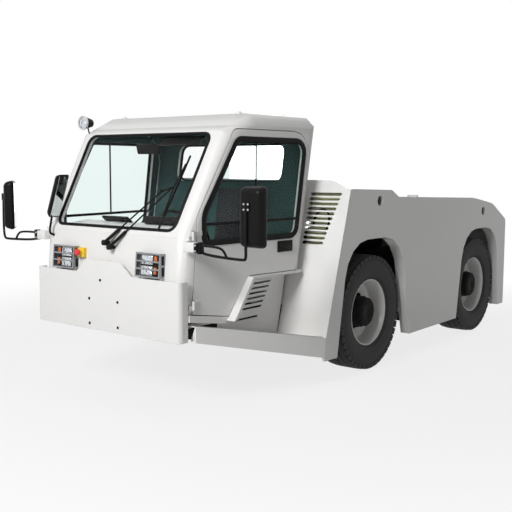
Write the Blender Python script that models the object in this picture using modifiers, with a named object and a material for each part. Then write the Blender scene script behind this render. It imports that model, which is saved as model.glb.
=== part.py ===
"""Aircraft pushback tractor with a forward cab, four-wheel steering and heavy side plates.

Metres, +Z up. The front faces -Y, the driver's left is +X and the ground is Z = 0.
A station is a distance rearward from the front face of the front plate, so an outline in the
side plane is a list of (station, height) and one in the front plane a list of (across, height).
"""

import math
from collections import namedtuple

import bmesh
import bpy
from mathutils import Matrix, Vector

# Overall sizes
FRONT_AXLE_STATION = 2.14
WHEELBASE = 2.25
REAR_OVERHANG = 0.717
REAR_AXLE_STATION = FRONT_AXLE_STATION + WHEELBASE
OVERALL_LENGTH = REAR_AXLE_STATION + REAR_OVERHANG
KINGPIN_TRACK = 1.520
KINGPIN_TO_WHEEL = 0.205
WHEEL_TRACK = KINGPIN_TRACK + 2 * KINGPIN_TO_WHEEL

# Fits
SEAT = 0.0003
DOOR_GAP = 0.007
RUNNING_GAP = 0.006
PIN_GAP = 0.001
OVERRUN = 0.05
EMBED = 0.006
WELD = 0.00001
ARC_STEPS = 4
SHARP_ANGLE = math.radians(30)

# Wheels and tyres
TYRE_RADIUS = 0.515
TYRE_WIDTH = 0.290
TYRE_TO_SIDE = 0.052
BODY_WIDTH = WHEEL_TRACK + TYRE_WIDTH + 2 * TYRE_TO_SIDE
TYRE_TREAD_WIDTH = 0.210
TYRE_BEAD_WIDTH = 0.206
RIM_FLANGE_RADIUS = 0.300
RIM_SEAT_RADIUS = 0.287
RIM_WIDTH = 0.236
RIM_WALL = 0.010
RIM_DISC_DEPTH = 0.175
HUB_FLANGE_RADIUS = 0.165
HUB_DRUM_RADIUS = 0.130
HUB_PROUD = 0.085
WHEEL_STEPS = 24
TYRE_SHOULDER_SHARES = (
    # half width, height over the rim's seat
    (0.93, 0.2),
    (1.0, 0.5),
    (0.95, 0.82),
)
HUB_FACE_SHARE = 0.5
HUB_EDGE_SHARE = 0.85

# Axles and steering knuckles
KINGPIN_RADIUS = 0.022
KNUCKLE_DRUM_RADIUS = 0.110
KNUCKLE_DRUM_REACH = 0.055
KNUCKLE_DRUM_BACK_SHARE = 0.8
SPINDLE_RADIUS = 0.040
SPINDLE_LENGTH = 0.060
STEER_ARM_LENGTH = 0.220
STEER_ARM_THICK = 0.025
YOKE_REACH = 0.060
YOKE_BACK = 0.140
YOKE_THICK = 0.040
YOKE_WIDTH = 0.110
KNUCKLE_HEIGHT = 0.276
AXLE_TUBE_RADIUS = 0.085
DIFF_RADIUS = 0.190
DIFF_HALF = 0.260
DIFF_SHOULDER_SHARE = 0.9
AXLE_PAD_LENGTH = 0.220
STEER_CYLINDER_RADIUS = 0.035
STEER_CYLINDER_LENGTH = 0.500
STEER_CYLINDER_OFFSET = 0.150
STEER_ROD_RADIUS = 0.015
STEER_ROD_SHORT = 0.260
STEER_ROD_REACH = KINGPIN_TRACK / 2 - STEER_ROD_SHORT
ROUND_STEPS = 16
HINGE_STEPS = 12
SMALL_BAR_STEPS = 8

# Chassis frame
FRAME_HALF = 0.440
FRAME_THICK = 0.030
FRAME_FRONT = 0.060
FRAME_CAB_TOP = 0.600
FRAME_TOP = 0.950
FRAME_OVERHANG = 0.640
FRAME_REAR = REAR_AXLE_STATION + FRAME_OVERHANG
FRAME_ARCH_HALF = 0.190
FRAME_ARCH_TOP = 0.680
BELLY_HEIGHT = 0.300
BELLY_THICK = 0.010
UNDER_FRONT_HEIGHT = 0.547
UNDER_REAR_HEIGHT = 0.270
UNDER_REAR_STATION = 1.300
OUTRIGGER_SIZE = 0.080
OUTRIGGER_AHEAD = 1.400
OUTRIGGER_BEHIND_FRONT_AXLE = 0.810
OUTRIGGER_BEFORE_REAR_AXLE = 0.740
OUTRIGGER_STATIONS = (
    OUTRIGGER_AHEAD,
    FRONT_AXLE_STATION + OUTRIGGER_BEHIND_FRONT_AXLE,
    REAR_AXLE_STATION - OUTRIGGER_BEFORE_REAR_AXLE,
)
FRAME_NOSE_TOP = 0.660
CAB_MOUNT_SIZE = 0.100
HITCH_WALL_OVERHANG = 0.470
HITCH_WALL_STATION = REAR_AXLE_STATION + HITCH_WALL_OVERHANG
HITCH_WALL_TOP = 0.760

# Engine
ENGINE_TO_FRONT_AXLE = 0.480
ENGINE_FRONT = FRONT_AXLE_STATION + ENGINE_TO_FRONT_AXLE
ENGINE_LENGTH = 1.000
ENGINE_WIDTH = 0.620
ENGINE_HEIGHT = 0.820

# Side plates
SIDE_THICK = 0.020
ARCH_FLANGE_DEPTH = 0.100
ARCH_FLANGE_THICK = 0.012
LIFT_HOLE_RADIUS = 0.045

# Front bulkhead
BULKHEAD_THICK = 0.012
BULKHEAD_FOOT_STATION = 1.323
BULKHEAD_FOOT_HEIGHT = 0.422
BULKHEAD_HEAD_STATION = 1.673
BULKHEAD_HEAD_HEIGHT = 1.612
BULKHEAD_SWEEP_SHARE = 0.14
BULKHEAD_BEND = 0.720
BULKHEAD_CROWN = 0.070
SLOT_HEIGHT = 0.026
SLOT_PITCH = 0.040
SLOT_COUNT = 11
SLOT_TOP = 1.566
SLOT_INNER = 0.800
SLOT_OUTER = 1.090
SLOT_TAPER = 0.0095

# Deck covers
DECK_THICK = 0.008
DECK_SUNK = 0.014
HOOD_TO_FRONT_AXLE = 0.290
HOOD_TO_REAR_AXLE = 0.400
HOOD_FRONT = FRONT_AXLE_STATION + HOOD_TO_FRONT_AXLE
HOOD_REAR = REAR_AXLE_STATION - HOOD_TO_REAR_AXLE
HOOD_LIP = 0.060
HOOD_HINGE_RADIUS = 0.014
HOOD_HINGE_WIDTH = 0.120
HOOD_HINGE_HALF = 0.600
REAR_PLATE_STATION = FRAME_REAR
REAR_PLATE_THICK = 0.015
REAR_PLATE_BOTTOM = 0.300
REAR_WINDOW_HALF = 0.260
REAR_WINDOW_BOTTOM = 0.380
REAR_WINDOW_TOP = 0.720

# Rear hitch
HITCH_PLATE_WIDTH = 0.300
HITCH_PLATE_HEIGHT = 0.280
HITCH_PLATE_THICK = 0.025
HITCH_JAW_WIDTH = 0.160
HITCH_JAW_THICK = 0.035
HITCH_JAW_GAP = 0.090
HITCH_JAW_REACH = 0.205
HITCH_CENTRE_HEIGHT = 0.540
HITCH_PIN_RADIUS = 0.025
REAR_LAMP_WIDTH = 0.100
REAR_LAMP_HEIGHT = 0.220
REAR_LAMP_DEPTH = 0.040
REAR_LAMP_ACROSS = 0.950
REAR_LAMP_CENTRE_HEIGHT = 0.880

# Front plate
PLATE_HALF = 0.790
PLATE_THICK = 0.018
PLATE_RETURN = 0.090
PLATE_BOTTOM = 0.540
PLATE_BUMP_RISE = 0.100
PLATE_BUMP_HALF = 0.180
PLATE_BUMP_FOOT = 0.306
PLATE_CORNER_RADIUS = 0.040

# Steps
STEP_FRONT_STATION = 0.126
STEP_FRONT_HALF = 0.830
STEP_FRONT_TOP = 0.657
STEP_REAR_TOP = 0.422
STEP_FRONT_BOTTOM = 0.536
STEP_REAR_BOTTOM = 0.260
STEP_THICK = 0.008
STEP_LIP = 0.050

# Cab shell
CAB_WALL = 0.040
CAB_FRONT_HALF = 0.770
CAB_FLARE_SHARE = 0.085
CAB_CORNER_RADIUS = 0.085
CAB_CORNER_STEPS = 3
ROOF_SPLIT_HEIGHT = 2.098
FRONT_SPLIT_HEIGHT = 1.290
FRONT_SPLIT_STATION = 0.130
GLASS_THICK = 0.006
GLASS_SUNK = 0.014
SCREEN_BOTTOM = 1.325
SCREEN_TOP = 2.030
SCREEN_BOTTOM_HALF = 0.644
SCREEN_TOP_HALF = 0.668
SCREEN_CORNER = 0.060
REAR_GLASS_HALF = 0.600
REAR_GLASS_BOTTOM = 1.660
REAR_GLASS_TOP = 1.990
REAR_GLASS_CORNER = 0.080

# Cab base
FLOOR_THICK = 0.050
TUB_HALF = 0.720
TUB_WALL = 0.008
TUB_FLOOR_TOP = 0.650
TUB_FLOOR_THICK = 0.028
TUB_FRONT = 0.500
TUB_REAR = 1.290
TUB_BOTTOM = 0.440
NICHE_THICK = 0.020
GILL_COUNT = 9
GILL_PITCH = 0.038
GILL_TOP = 0.905
GILL_HEIGHT = 0.016
GILL_LENGTH = 0.305
GILL_START = 0.885
GILL_STEP = 0.0243

# Doors
HINGE_OUT = 0.016
HINGE_RADIUS = 0.011
HINGE_BARREL = 0.032
HINGE_LEAF = 0.045
HINGE_HEIGHTS = (0.800, 1.300)

# Cab inside
DASH_DEPTH = 0.300
DASH_HALF = 0.640
DASH_BOTTOM = 0.820
DASH_TOP = 1.240
STEERING_ACROSS = 0.330
STEERING_WHEEL_RADIUS = 0.210
STEERING_GRIP_RADIUS = 0.014
STEERING_WHEEL_STATION = 0.560
STEERING_WHEEL_HEIGHT = 1.300
STEERING_SPOKE_ANGLES = (-30, 90, 210)
COLUMN_RADIUS = 0.030
SEAT_ACROSS = 0.330
SEAT_WIDTH = 0.480
SEAT_DEPTH = 0.460
SEAT_FRONT = 0.740
SEAT_TOP = 1.080
SEAT_CUSHION = 0.120
SEAT_BACK_HEIGHT = 0.620
SEAT_BACK_THICK = 0.110
SEAT_BASE_WIDTH = 0.380

# Front lamps and stop button
LAMP_ACROSS = 0.469
LAMP_HEIGHT = 1.076
LAMP_WIDTH = 0.170
LAMP_TALL = 0.170
LAMP_DEPTH = 0.032
LAMP_OVER_PLATE = 0.011
PLATE_TOP = LAMP_HEIGHT - LAMP_TALL / 2 - LAMP_OVER_PLATE
PLATE_BUMP_TOP = PLATE_TOP + PLATE_BUMP_RISE
GUARD_WIDTH = 0.250
GUARD_TALL = 0.180
GUARD_PROUD = 0.055
GUARD_BAR_RADIUS = 0.006
GUARD_BAR_COUNT = 4
STOP_ACROSS = -0.295
STOP_OVER_LAMP = 0.044
STOP_HEIGHT = LAMP_HEIGHT + STOP_OVER_LAMP
STOP_SIZE = 0.075
STOP_DEPTH = 0.028
STOP_BUTTON_RADIUS = 0.022
STOP_BUTTON_PROUD = 0.036

# Work lamp, mirrors and wiper
WORK_LAMP_RADIUS = 0.055
WORK_LAMP_DEPTH = 0.080
WORK_LAMP_BACK_SHARE = 0.6
MIRROR_HEAD_WIDTH = 0.230
MIRROR_HEAD_TALL = 0.430
MIRROR_HEAD_DEPTH = 0.090
MIRROR_HEAD_ACROSS = 1.350
MIRROR_HEAD_STATION = 0.110
MIRROR_HEAD_HEIGHT = 1.460
MIRROR_TUBE_RADIUS = 0.011
MIRROR_BLOCK = 0.060

Corner = namedtuple("Corner", "along up radius")
ProfileCorner = namedtuple("ProfileCorner", "along up wall_follows")


def from_station(start, *corners):
    """The same corners, with their stations counted from a start."""
    return tuple(corner._replace(along=start + corner.along) for corner in corners)


HALF_LENGTH = OVERALL_LENGTH / 2
BODY_HALF = BODY_WIDTH / 2
SIDE_INNER = BODY_HALF - SIDE_THICK
HUB_HEIGHT = TYRE_RADIUS * math.cos(math.pi / WHEEL_STEPS)
WHEEL_ACROSS = WHEEL_TRACK / 2
KINGPIN_ACROSS = KINGPIN_TRACK / 2
RIM_DISC_ACROSS = WHEEL_ACROSS + RIM_WIDTH / 2 - RIM_DISC_DEPTH
BULKHEAD_LEAN_SHARE = (BULKHEAD_HEAD_STATION - BULKHEAD_FOOT_STATION) / (
    BULKHEAD_HEAD_HEIGHT - BULKHEAD_FOOT_HEIGHT
)

DOOR = (
    # station, height, corner radius
    Corner(0.150, 0.733, 0.020),
    Corner(0.525, 0.675, 0.030),
    Corner(0.745, 0.962, 0.050),
    Corner(1.315, 0.957, 0.030),
    Corner(1.515, 2.072, 0.200),
    Corner(0.600, 2.072, 0.080),
    Corner(0.215, 1.430, 0.200),
)
DOOR_WINDOW = (
    Corner(0.275, 1.240, 0.040),
    Corner(1.303, 1.240, 0.080),
    Corner(1.417, 1.998, 0.090),
    Corner(0.625, 1.998, 0.080),
    Corner(0.275, 1.450, 0.150),
)
CAB_PROFILE = (
    # station, height, whether a wall runs from here to the next corner
    ProfileCorner(0.030, 0.745, False),
    ProfileCorner(0.530, 0.668, False),
    ProfileCorner(0.740, 0.955, False),
    ProfileCorner(1.375, 0.950, True),
    ProfileCorner(1.585, 2.145, True),
    ProfileCorner(1.480, 2.200, True),
    ProfileCorner(0.815, 2.200, True),
    ProfileCorner(0.585, 2.098, True),
    ProfileCorner(0.505, 2.060, True),
    ProfileCorner(0.085, 1.300, True),
)
SIDE_PLATE = (
    Corner(1.300, 0.230, 0.0),
    Corner(1.323, 0.422, 0.0),
    Corner(1.673, 1.612, 0.030),
    Corner(2.375, 1.590, 0.060),
    Corner(2.507, 1.526, 0.060),
) + from_station(
    REAR_AXLE_STATION,
    # station behind the rear axle, height, corner radius
    Corner(-0.210, 1.470, 1.200),
    Corner(0.310, 1.395, 0.500),
    Corner(0.717, 1.198, 0.060),
    Corner(0.717, 0.222, 0.020),
)
FRONT_ARCH = from_station(
    FRONT_AXLE_STATION,
    Corner(0.650, 0.222, 0.0),
    Corner(0.535, 0.654, 0.400),
    Corner(0.485, 1.175, 0.400),
    Corner(-0.485, 1.175, 0.360),
    Corner(-0.645, 0.222, 0.0),
)
REAR_ARCH = from_station(
    REAR_AXLE_STATION,
    Corner(0.555, 0.222, 0.0),
    Corner(0.460, 1.135, 0.340),
    Corner(-0.425, 1.135, 0.360),
    Corner(-0.575, 0.222, 0.0),
)
LIFT_HOLES = from_station(
    FRONT_AXLE_STATION,
    Corner(0.024, 1.500, LIFT_HOLE_RADIUS),
) + from_station(
    REAR_AXLE_STATION,
    Corner(0.059, 1.320, LIFT_HOLE_RADIUS),
)
DECK_LINE = (
    # station, height of the side plate's top edge there
    (1.700, 1.611),
    (2.375, 1.590),
    (2.507, 1.526),
    (REAR_AXLE_STATION - 0.210, 1.470),
    (REAR_AXLE_STATION + 0.310, 1.395),
    (FRAME_REAR, 1.235),
)

MATERIALS = {
    # name: red, green, blue, alpha, roughness, metallic
    "white_paint": (0.80, 0.79, 0.78, 1.0, 0.35, 0.0),
    "grey_paint": (0.23, 0.22, 0.22, 1.0, 0.45, 0.0),
    "black_paint": (0.02, 0.02, 0.022, 1.0, 0.5, 0.0),
    "cast_metal": (0.10, 0.10, 0.10, 1.0, 0.6, 0.6),
    "tyre_rubber": (0.018, 0.018, 0.018, 1.0, 0.85, 0.0),
    "tinted_glass": (0.10, 0.18, 0.18, 0.35, 0.05, 0.0),
    "lamp_glass": (0.55, 0.55, 0.52, 1.0, 0.15, 0.2),
    "guard_steel": (0.30, 0.31, 0.32, 1.0, 0.4, 0.8),
    "red_lens": (0.45, 0.02, 0.015, 1.0, 0.3, 0.0),
    "stop_yellow": (0.75, 0.50, 0.03, 1.0, 0.4, 0.0),
    "black_plastic": (0.016, 0.016, 0.018, 1.0, 0.45, 0.0),
    "cab_trim": (0.05, 0.075, 0.09, 1.0, 0.6, 0.0),
    "seat_cloth": (0.02, 0.02, 0.022, 1.0, 0.9, 0.0),
}


def y_at(station):
    return station - HALF_LENGTH


def cab_half(station):
    """Half width of the cab's outer skin at a station."""
    return CAB_FRONT_HALF + CAB_FLARE_SHARE * (station - STEP_FRONT_STATION)


def under_height(station):
    """Height of the sloping underside ahead of the front wheels."""
    share = (station - FRAME_FRONT) / (UNDER_REAR_STATION - FRAME_FRONT)
    return UNDER_FRONT_HEIGHT + share * (UNDER_REAR_HEIGHT - UNDER_FRONT_HEIGHT)


def bulkhead_station(across, height):
    """Station of the bulkhead's front face: it leans back, and its wings sweep back outwards."""
    swept = min(abs(across), BODY_HALF) - BODY_HALF
    swept = max(swept, BULKHEAD_BEND - BODY_HALF)
    lean = BULKHEAD_LEAN_SHARE * (height - BULKHEAD_FOOT_HEIGHT)
    return BULKHEAD_FOOT_STATION + lean + BULKHEAD_SWEEP_SHARE * swept


def skirt_station(across, height):
    """Station of the steps' rear face, which goes on below the bulkhead's foot."""
    below = min(height - BULKHEAD_FOOT_HEIGHT, 0.0)
    lean = (SIDE_PLATE[1].along - SIDE_PLATE[0].along) / (SIDE_PLATE[1].up - SIDE_PLATE[0].up)
    return bulkhead_station(across, height - below) + lean * below


def step_share(station):
    return (station - STEP_FRONT_STATION) / (BULKHEAD_FOOT_STATION - STEP_FRONT_STATION)


def step_top(station):
    return STEP_FRONT_TOP + step_share(station) * (STEP_REAR_TOP - STEP_FRONT_TOP)


def along_at(foot, head, height):
    """Where the line through two corners of an outline crosses a height."""
    return foot.along + (head.along - foot.along) * (height - foot.up) / (head.up - foot.up)


def up_at(start, end, along):
    """Height at which the line through two corners of an outline reaches a place along it."""
    return start.up + (end.up - start.up) * (along - start.along) / (end.along - start.along)


def rounded(corners, steps=ARC_STEPS):
    """Points of a closed outline whose corners are arcs of the stated radii."""
    points = []
    count = len(corners)
    for index, corner in enumerate(corners):
        here = Vector(corner[:2])
        if corner.radius <= 0:
            points.append(here)
            continue
        before = (Vector(corners[index - 1][:2]) - here).normalized()
        after = (Vector(corners[(index + 1) % count][:2]) - here).normalized()
        half = before.angle(after) / 2
        centre = here + (before + after).normalized() * corner.radius / math.sin(half)
        start = here + before * corner.radius / math.tan(half) - centre
        turn = math.pi - 2 * half
        if before.cross(after) > 0:
            turn = -turn
        for step in range(steps + 1):
            angle = turn * step / steps
            cosine, sine = math.cos(angle), math.sin(angle)
            spoke = Vector((start.x * cosine - start.y * sine, start.x * sine + start.y * cosine))
            points.append(centre + spoke)
    return points


def offset(points, distances):
    """The polygon with each edge moved to its left by its distance, corners mitred."""
    count = len(points)
    lines = []
    for index in range(count):
        start = Vector(points[index][:2])
        run = (Vector(points[(index + 1) % count][:2]) - start).normalized()
        normal = Vector((-run.y, run.x))
        lines.append((start + normal * distances[index], run))
    moved = []
    for index in range(count):
        (a, along_a), (b, along_b) = lines[index - 1], lines[index]
        moved.append(a + along_a * ((b - a).cross(along_b) / along_a.cross(along_b)))
    return moved


def grown(corners, distance):
    """The same rounded outline, grown outwards by a distance."""
    area = 0.0
    for index, corner in enumerate(corners):
        area += Vector(corners[index - 1][:2]).cross(Vector(corner[:2]))
    sign = -1 if area > 0 else 1
    moved = offset(corners, [sign * distance] * len(corners))
    radii = [corner.radius + distance if corner.radius else 0.0 for corner in corners]
    return [Corner(point.x, point.y, radius) for point, radius in zip(moved, radii)]


def link(name, mesh):
    obj = bpy.data.objects.new(name, mesh)
    bpy.context.scene.collection.objects.link(obj)
    return obj


def bake(obj, matrix=None):
    """Applies modifiers, or turns a curve into a mesh, welds it and points its faces out."""
    graph = bpy.context.evaluated_depsgraph_get()
    mesh = bpy.data.meshes.new_from_object(obj.evaluated_get(graph))
    if matrix is not None:
        mesh.transform(matrix)
    data = bmesh.new()
    data.from_mesh(mesh)
    bmesh.ops.remove_doubles(data, verts=data.verts, dist=WELD)
    bmesh.ops.triangulate(data, faces=data.faces)
    bmesh.ops.recalc_face_normals(data, faces=data.faces)
    data.to_mesh(mesh)
    data.free()
    solid = link(obj.name, mesh)
    bpy.data.objects.remove(obj)
    return solid


def slab(outline, low, high, plane):
    """A flat outline given thickness from low to high across the plane it is drawn in."""
    curve = bpy.data.curves.new("outline", "CURVE")
    curve.dimensions = "2D"
    curve.fill_mode = "BOTH"
    curve.extrude = (high - low) / 2
    spline = curve.splines.new("POLY")
    spline.points.add(len(outline) - 1)
    for point, (along, up) in zip(spline.points, outline):
        point.co = (along, up, 0, 1)
    spline.use_cyclic_u = True
    middle = (low + high) / 2
    if plane == "side":
        turn = Matrix(((0, 0, 1, middle), (1, 0, 0, -HALF_LENGTH), (0, 1, 0, 0), (0, 0, 0, 1)))
    elif plane == "front":
        turn = Matrix(((1, 0, 0, 0), (0, 0, -1, y_at(middle)), (0, 1, 0, 0), (0, 0, 0, 1)))
    else:
        turn = Matrix(((1, 0, 0, 0), (0, 1, 0, -HALF_LENGTH), (0, 0, 1, middle), (0, 0, 0, 1)))
    return bake(link("slab", curve), turn)


def box(across, stations, heights):
    """A block between two distances across, two stations and two heights."""
    data = bmesh.new()
    bmesh.ops.create_cube(data, size=1)
    mesh = bpy.data.meshes.new("block")
    data.to_mesh(mesh)
    data.free()
    spans = (across, stations, heights)
    sizes = [abs(high - low) for low, high in spans]
    middle = [(low + high) / 2 for low, high in spans]
    place = Matrix.Translation((middle[0], y_at(middle[1]), middle[2]))
    mesh.transform(place @ Matrix.Diagonal((*sizes, 1)))
    return link("block", mesh)


def cylinder(start, end, radius, steps=ROUND_STEPS, end_radius=None):
    """A round bar, or a cone, between two points given as (across, station, height)."""
    first = Vector((start[0], y_at(start[1]), start[2]))
    last = Vector((end[0], y_at(end[1]), end[2]))
    data = bmesh.new()
    top = radius if end_radius is None else end_radius
    bmesh.ops.create_cone(
        data,
        cap_ends=True,
        segments=steps,
        radius1=radius,
        radius2=top,
        depth=(last - first).length,
    )
    mesh = bpy.data.meshes.new("bar")
    data.to_mesh(mesh)
    data.free()
    turn = (last - first).to_track_quat("Z", "Y").to_matrix().to_4x4()
    mesh.transform(Matrix.Translation((first + last) / 2) @ turn)
    return link("bar", mesh)


def tube(points, radius, cyclic=False, resolution=2):
    """A bent round tube through points given as (across, station, height)."""
    curve = bpy.data.curves.new("tube", "CURVE")
    curve.dimensions = "3D"
    curve.bevel_depth = radius
    curve.bevel_resolution = resolution
    curve.use_fill_caps = not cyclic
    spline = curve.splines.new("POLY")
    spline.points.add(len(points) - 1)
    for point, (across, station, height) in zip(spline.points, points):
        point.co = (across, y_at(station), height, 1)
    spline.use_cyclic_u = cyclic
    return bake(link("tube", curve))


def turned(profile, centre, steps, closed=False):
    """A profile of (along, radius) turned about a line across the vehicle, flat side down."""
    mesh = bpy.data.meshes.new("turned")
    count = len(profile)
    edges = [(index, index + 1) for index in range(count - 1)]
    if closed:
        edges.append((count - 1, 0))
    mesh.from_pydata([(along, 0, radius) for along, radius in profile], edges, [])
    obj = link("turned", mesh)
    screw = obj.modifiers.new("screw", "SCREW")
    screw.axis = "X"
    screw.steps = steps
    screw.render_steps = steps
    screw.use_merge_vertices = True
    screw.merge_threshold = WELD
    across, station, height = centre
    place = Matrix.Translation((across, y_at(station), height))
    return bake(obj, place @ Matrix.Rotation(math.pi / steps, 4, "X"))


def combine(base, tools, operation):
    for number, tool in enumerate(tools):
        step = base.modifiers.new(f"{operation.lower()}_{number}", "BOOLEAN")
        step.operation = operation
        step.solver = "EXACT"
        step.object = tool
    solid = bake(base)
    for tool in tools:
        bpy.data.objects.remove(tool)
    return solid


def unite(base, *tools):
    return combine(base, tools, "UNION")


def cut(base, *tools):
    return combine(base, tools, "DIFFERENCE")


def common(base, *tools):
    return combine(base, tools, "INTERSECT")


def copy_of(obj, matrix=None):
    twin = link(obj.name, obj.data.copy())
    if matrix is not None:
        twin.data.transform(matrix)
        if matrix.determinant() < 0:
            twin.data.flip_normals()
    return twin


def mirrored(obj):
    return copy_of(obj, Matrix.Diagonal((-1, 1, 1, 1)))


def keep(obj, name, material, origin=(0, 0, 0)):
    """Names a finished piece, gives it its material and sets its origin (world coordinates)."""
    obj.name = name
    obj.data.name = name
    obj.data.transform(Matrix.Translation(-Vector(origin)))
    obj.location = origin
    obj.data.materials.clear()
    obj.data.materials.append(bpy.data.materials[material])
    obj.data.shade_smooth()
    obj.data.set_sharp_from_angle(angle=SHARP_ANGLE)
    bpy.context.scene.collection.objects.unlink(obj)
    bpy.data.collections["pushback_tractor"].objects.link(obj)
    return obj


def keep_pair(obj, name, material, origin=(0, 0, 0)):
    """Keeps a left-hand piece and its mirror image."""
    twin = mirrored(obj)
    keep(obj, f"{name}_left", material, origin)
    keep(twin, f"{name}_right", material, (-origin[0], origin[1], origin[2]))


def make_materials():
    for name, (red, green, blue, alpha, roughness, metallic) in MATERIALS.items():
        material = bpy.data.materials.new(name)
        material.use_nodes = True
        shader = material.node_tree.nodes["Principled BSDF"]
        shader.inputs["Base Color"].default_value = (red, green, blue, 1)
        shader.inputs["Alpha"].default_value = alpha
        shader.inputs["Roughness"].default_value = roughness
        shader.inputs["Metallic"].default_value = metallic


def make_frame():
    """Two deep cheek plates, cross plates, outriggers to the side plates and a belly."""
    arches = []
    for axle in (FRONT_AXLE_STATION, REAR_AXLE_STATION):
        arches.append((axle - FRAME_ARCH_HALF, axle + FRAME_ARCH_HALF))
    rise_station = bulkhead_station(0, FRAME_CAB_TOP) + BULKHEAD_THICK + OVERRUN / 2
    head_station = bulkhead_station(0, FRAME_TOP) + BULKHEAD_THICK + OVERRUN / 2
    outline = [
        (FRAME_FRONT, under_height(FRAME_FRONT)),
        (UNDER_REAR_STATION, UNDER_REAR_HEIGHT),
        (arches[0][0], UNDER_REAR_HEIGHT),
        (arches[0][0], FRAME_ARCH_TOP),
        (arches[0][1], FRAME_ARCH_TOP),
        (arches[0][1], BELLY_HEIGHT),
        (arches[1][0], BELLY_HEIGHT),
        (arches[1][0], FRAME_ARCH_TOP),
        (arches[1][1], FRAME_ARCH_TOP),
        (arches[1][1], BELLY_HEIGHT),
        (FRAME_REAR, BELLY_HEIGHT),
        (FRAME_REAR, FRAME_TOP),
        (head_station, FRAME_TOP),
        (rise_station, FRAME_CAB_TOP),
        (FRAME_FRONT, FRAME_CAB_TOP),
    ]
    pieces = []
    inner = FRAME_HALF - FRAME_THICK
    for side in (-1, 1):
        low, high = sorted((side * inner, side * FRAME_HALF))
        pieces.append(slab(outline, low, high, "side"))
    across = (-inner - EMBED, inner + EMBED)
    nose_back = PLATE_THICK + SEAT
    half = PLATE_HALF - PLATE_THICK - OVERRUN
    nose = box((-half, half), (nose_back, FRAME_FRONT + EMBED), (UNDER_FRONT_HEIGHT, FRAME_NOSE_TOP))
    skid = slab(
        [
            (FRAME_FRONT, under_height(FRAME_FRONT)),
            (UNDER_REAR_STATION, UNDER_REAR_HEIGHT),
            (arches[0][0], UNDER_REAR_HEIGHT),
            (arches[0][0], UNDER_REAR_HEIGHT + BELLY_THICK),
            (UNDER_REAR_STATION, UNDER_REAR_HEIGHT + BELLY_THICK),
            (FRAME_FRONT, under_height(FRAME_FRONT) + BELLY_THICK),
        ],
        *across,
        "side",
    )
    belly_heights = (BELLY_HEIGHT, BELLY_HEIGHT + BELLY_THICK)
    belly = box(across, (arches[0][1], arches[1][0]), belly_heights)
    pieces += [nose, skid, belly]
    reach = SIDE_INNER - SEAT
    for station in OUTRIGGER_STATIONS:
        stations = (station - OUTRIGGER_SIZE / 2, station + OUTRIGGER_SIZE / 2)
        low = BELLY_HEIGHT + BELLY_THICK
        pieces.append(box((-reach, reach), stations, (low, low + OUTRIGGER_SIZE)))
    wall = (HITCH_WALL_STATION - FRAME_THICK, HITCH_WALL_STATION)
    pieces.append(box(across, wall, (BELLY_HEIGHT, HITCH_WALL_TOP)))
    for station in (arches[0][1] + OUTRIGGER_SIZE, arches[1][0] - OUTRIGGER_SIZE):
        cross = (station - FRAME_THICK / 2, station + FRAME_THICK / 2)
        pieces.append(box(across, cross, (BELLY_HEIGHT, FRAME_ARCH_TOP)))
    for station in (FRAME_FRONT + OVERRUN + CAB_MOUNT_SIZE, TUB_REAR - CAB_MOUNT_SIZE):
        for side in (-1, 1):
            low, high = sorted((side * (FRAME_HALF - CAB_MOUNT_SIZE), side * FRAME_HALF))
            top = TUB_FLOOR_TOP - TUB_FLOOR_THICK - SEAT
            heights = (FRAME_CAB_TOP - EMBED, top)
            stations = (station - CAB_MOUNT_SIZE / 2, station + CAB_MOUNT_SIZE / 2)
            pieces.append(box((low, high), stations, heights))
    keep(unite(*pieces), "chassis_frame", "black_paint")
    low = BELLY_HEIGHT + BELLY_THICK + SEAT
    engine = box(
        (-ENGINE_WIDTH / 2, ENGINE_WIDTH / 2),
        (ENGINE_FRONT, ENGINE_FRONT + ENGINE_LENGTH),
        (low, low + ENGINE_HEIGHT),
    )
    outrigger = OUTRIGGER_SIZE + 2 * SEAT
    notches = []
    for station in OUTRIGGER_STATIONS:
        stations = (station - outrigger / 2, station + outrigger / 2)
        notches.append(box((-BODY_HALF, BODY_HALF), stations, (0, low + OUTRIGGER_SIZE)))
    keep(cut(engine, *notches), "engine_block", "cast_metal")


def make_sides():
    """Thick side plates with two wheel arches, each lined by an inward flange."""
    front_back = BULKHEAD_THICK + SEAT
    low, foot, head = SIDE_PLATE[:3]
    outline = [
        Corner(low.along + SEAT, low.up, 0.0),
        Corner(foot.along + SEAT, foot.up - SEAT, 0.0),
        Corner(foot.along + front_back, foot.up - SEAT, 0.0),
        Corner(head.along + front_back, head.up, head.radius),
    ]
    outline += SIDE_PLATE[3:]
    plate = slab(rounded(outline), SIDE_INNER, BODY_HALF, "side")
    inner = BODY_HALF - ARCH_FLANGE_DEPTH
    linings = []
    cutters = []
    for arch in (FRONT_ARCH, REAR_ARCH):
        linings.append(slab(rounded(grown(arch, ARCH_FLANGE_THICK)), inner, BODY_HALF - EMBED, "side"))
        ends = (
            Corner(along_at(arch[0], arch[1], -OVERRUN), -OVERRUN, 0.0),
            Corner(along_at(arch[-1], arch[-2], -OVERRUN), -OVERRUN, 0.0),
        )
        deep = (ends[0],) + arch[1:-1] + (ends[1],)
        cutters.append(slab(rounded(deep), inner - OVERRUN, BODY_HALF + OVERRUN, "side"))
    trim = box((0, BODY_WIDTH), (0, OVERALL_LENGTH), (-OVERRUN, SIDE_PLATE[-1].up))
    cutters.append(trim)
    for hole in LIFT_HOLES:
        reach = (SIDE_INNER - OVERRUN, BODY_HALF + OVERRUN)
        ends = [(across, hole.along, hole.up) for across in reach]
        cutters.append(cylinder(*ends, hole.radius))
    keep_pair(cut(unite(plate, *linings), *cutters), "body_side", "grey_paint")


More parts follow.
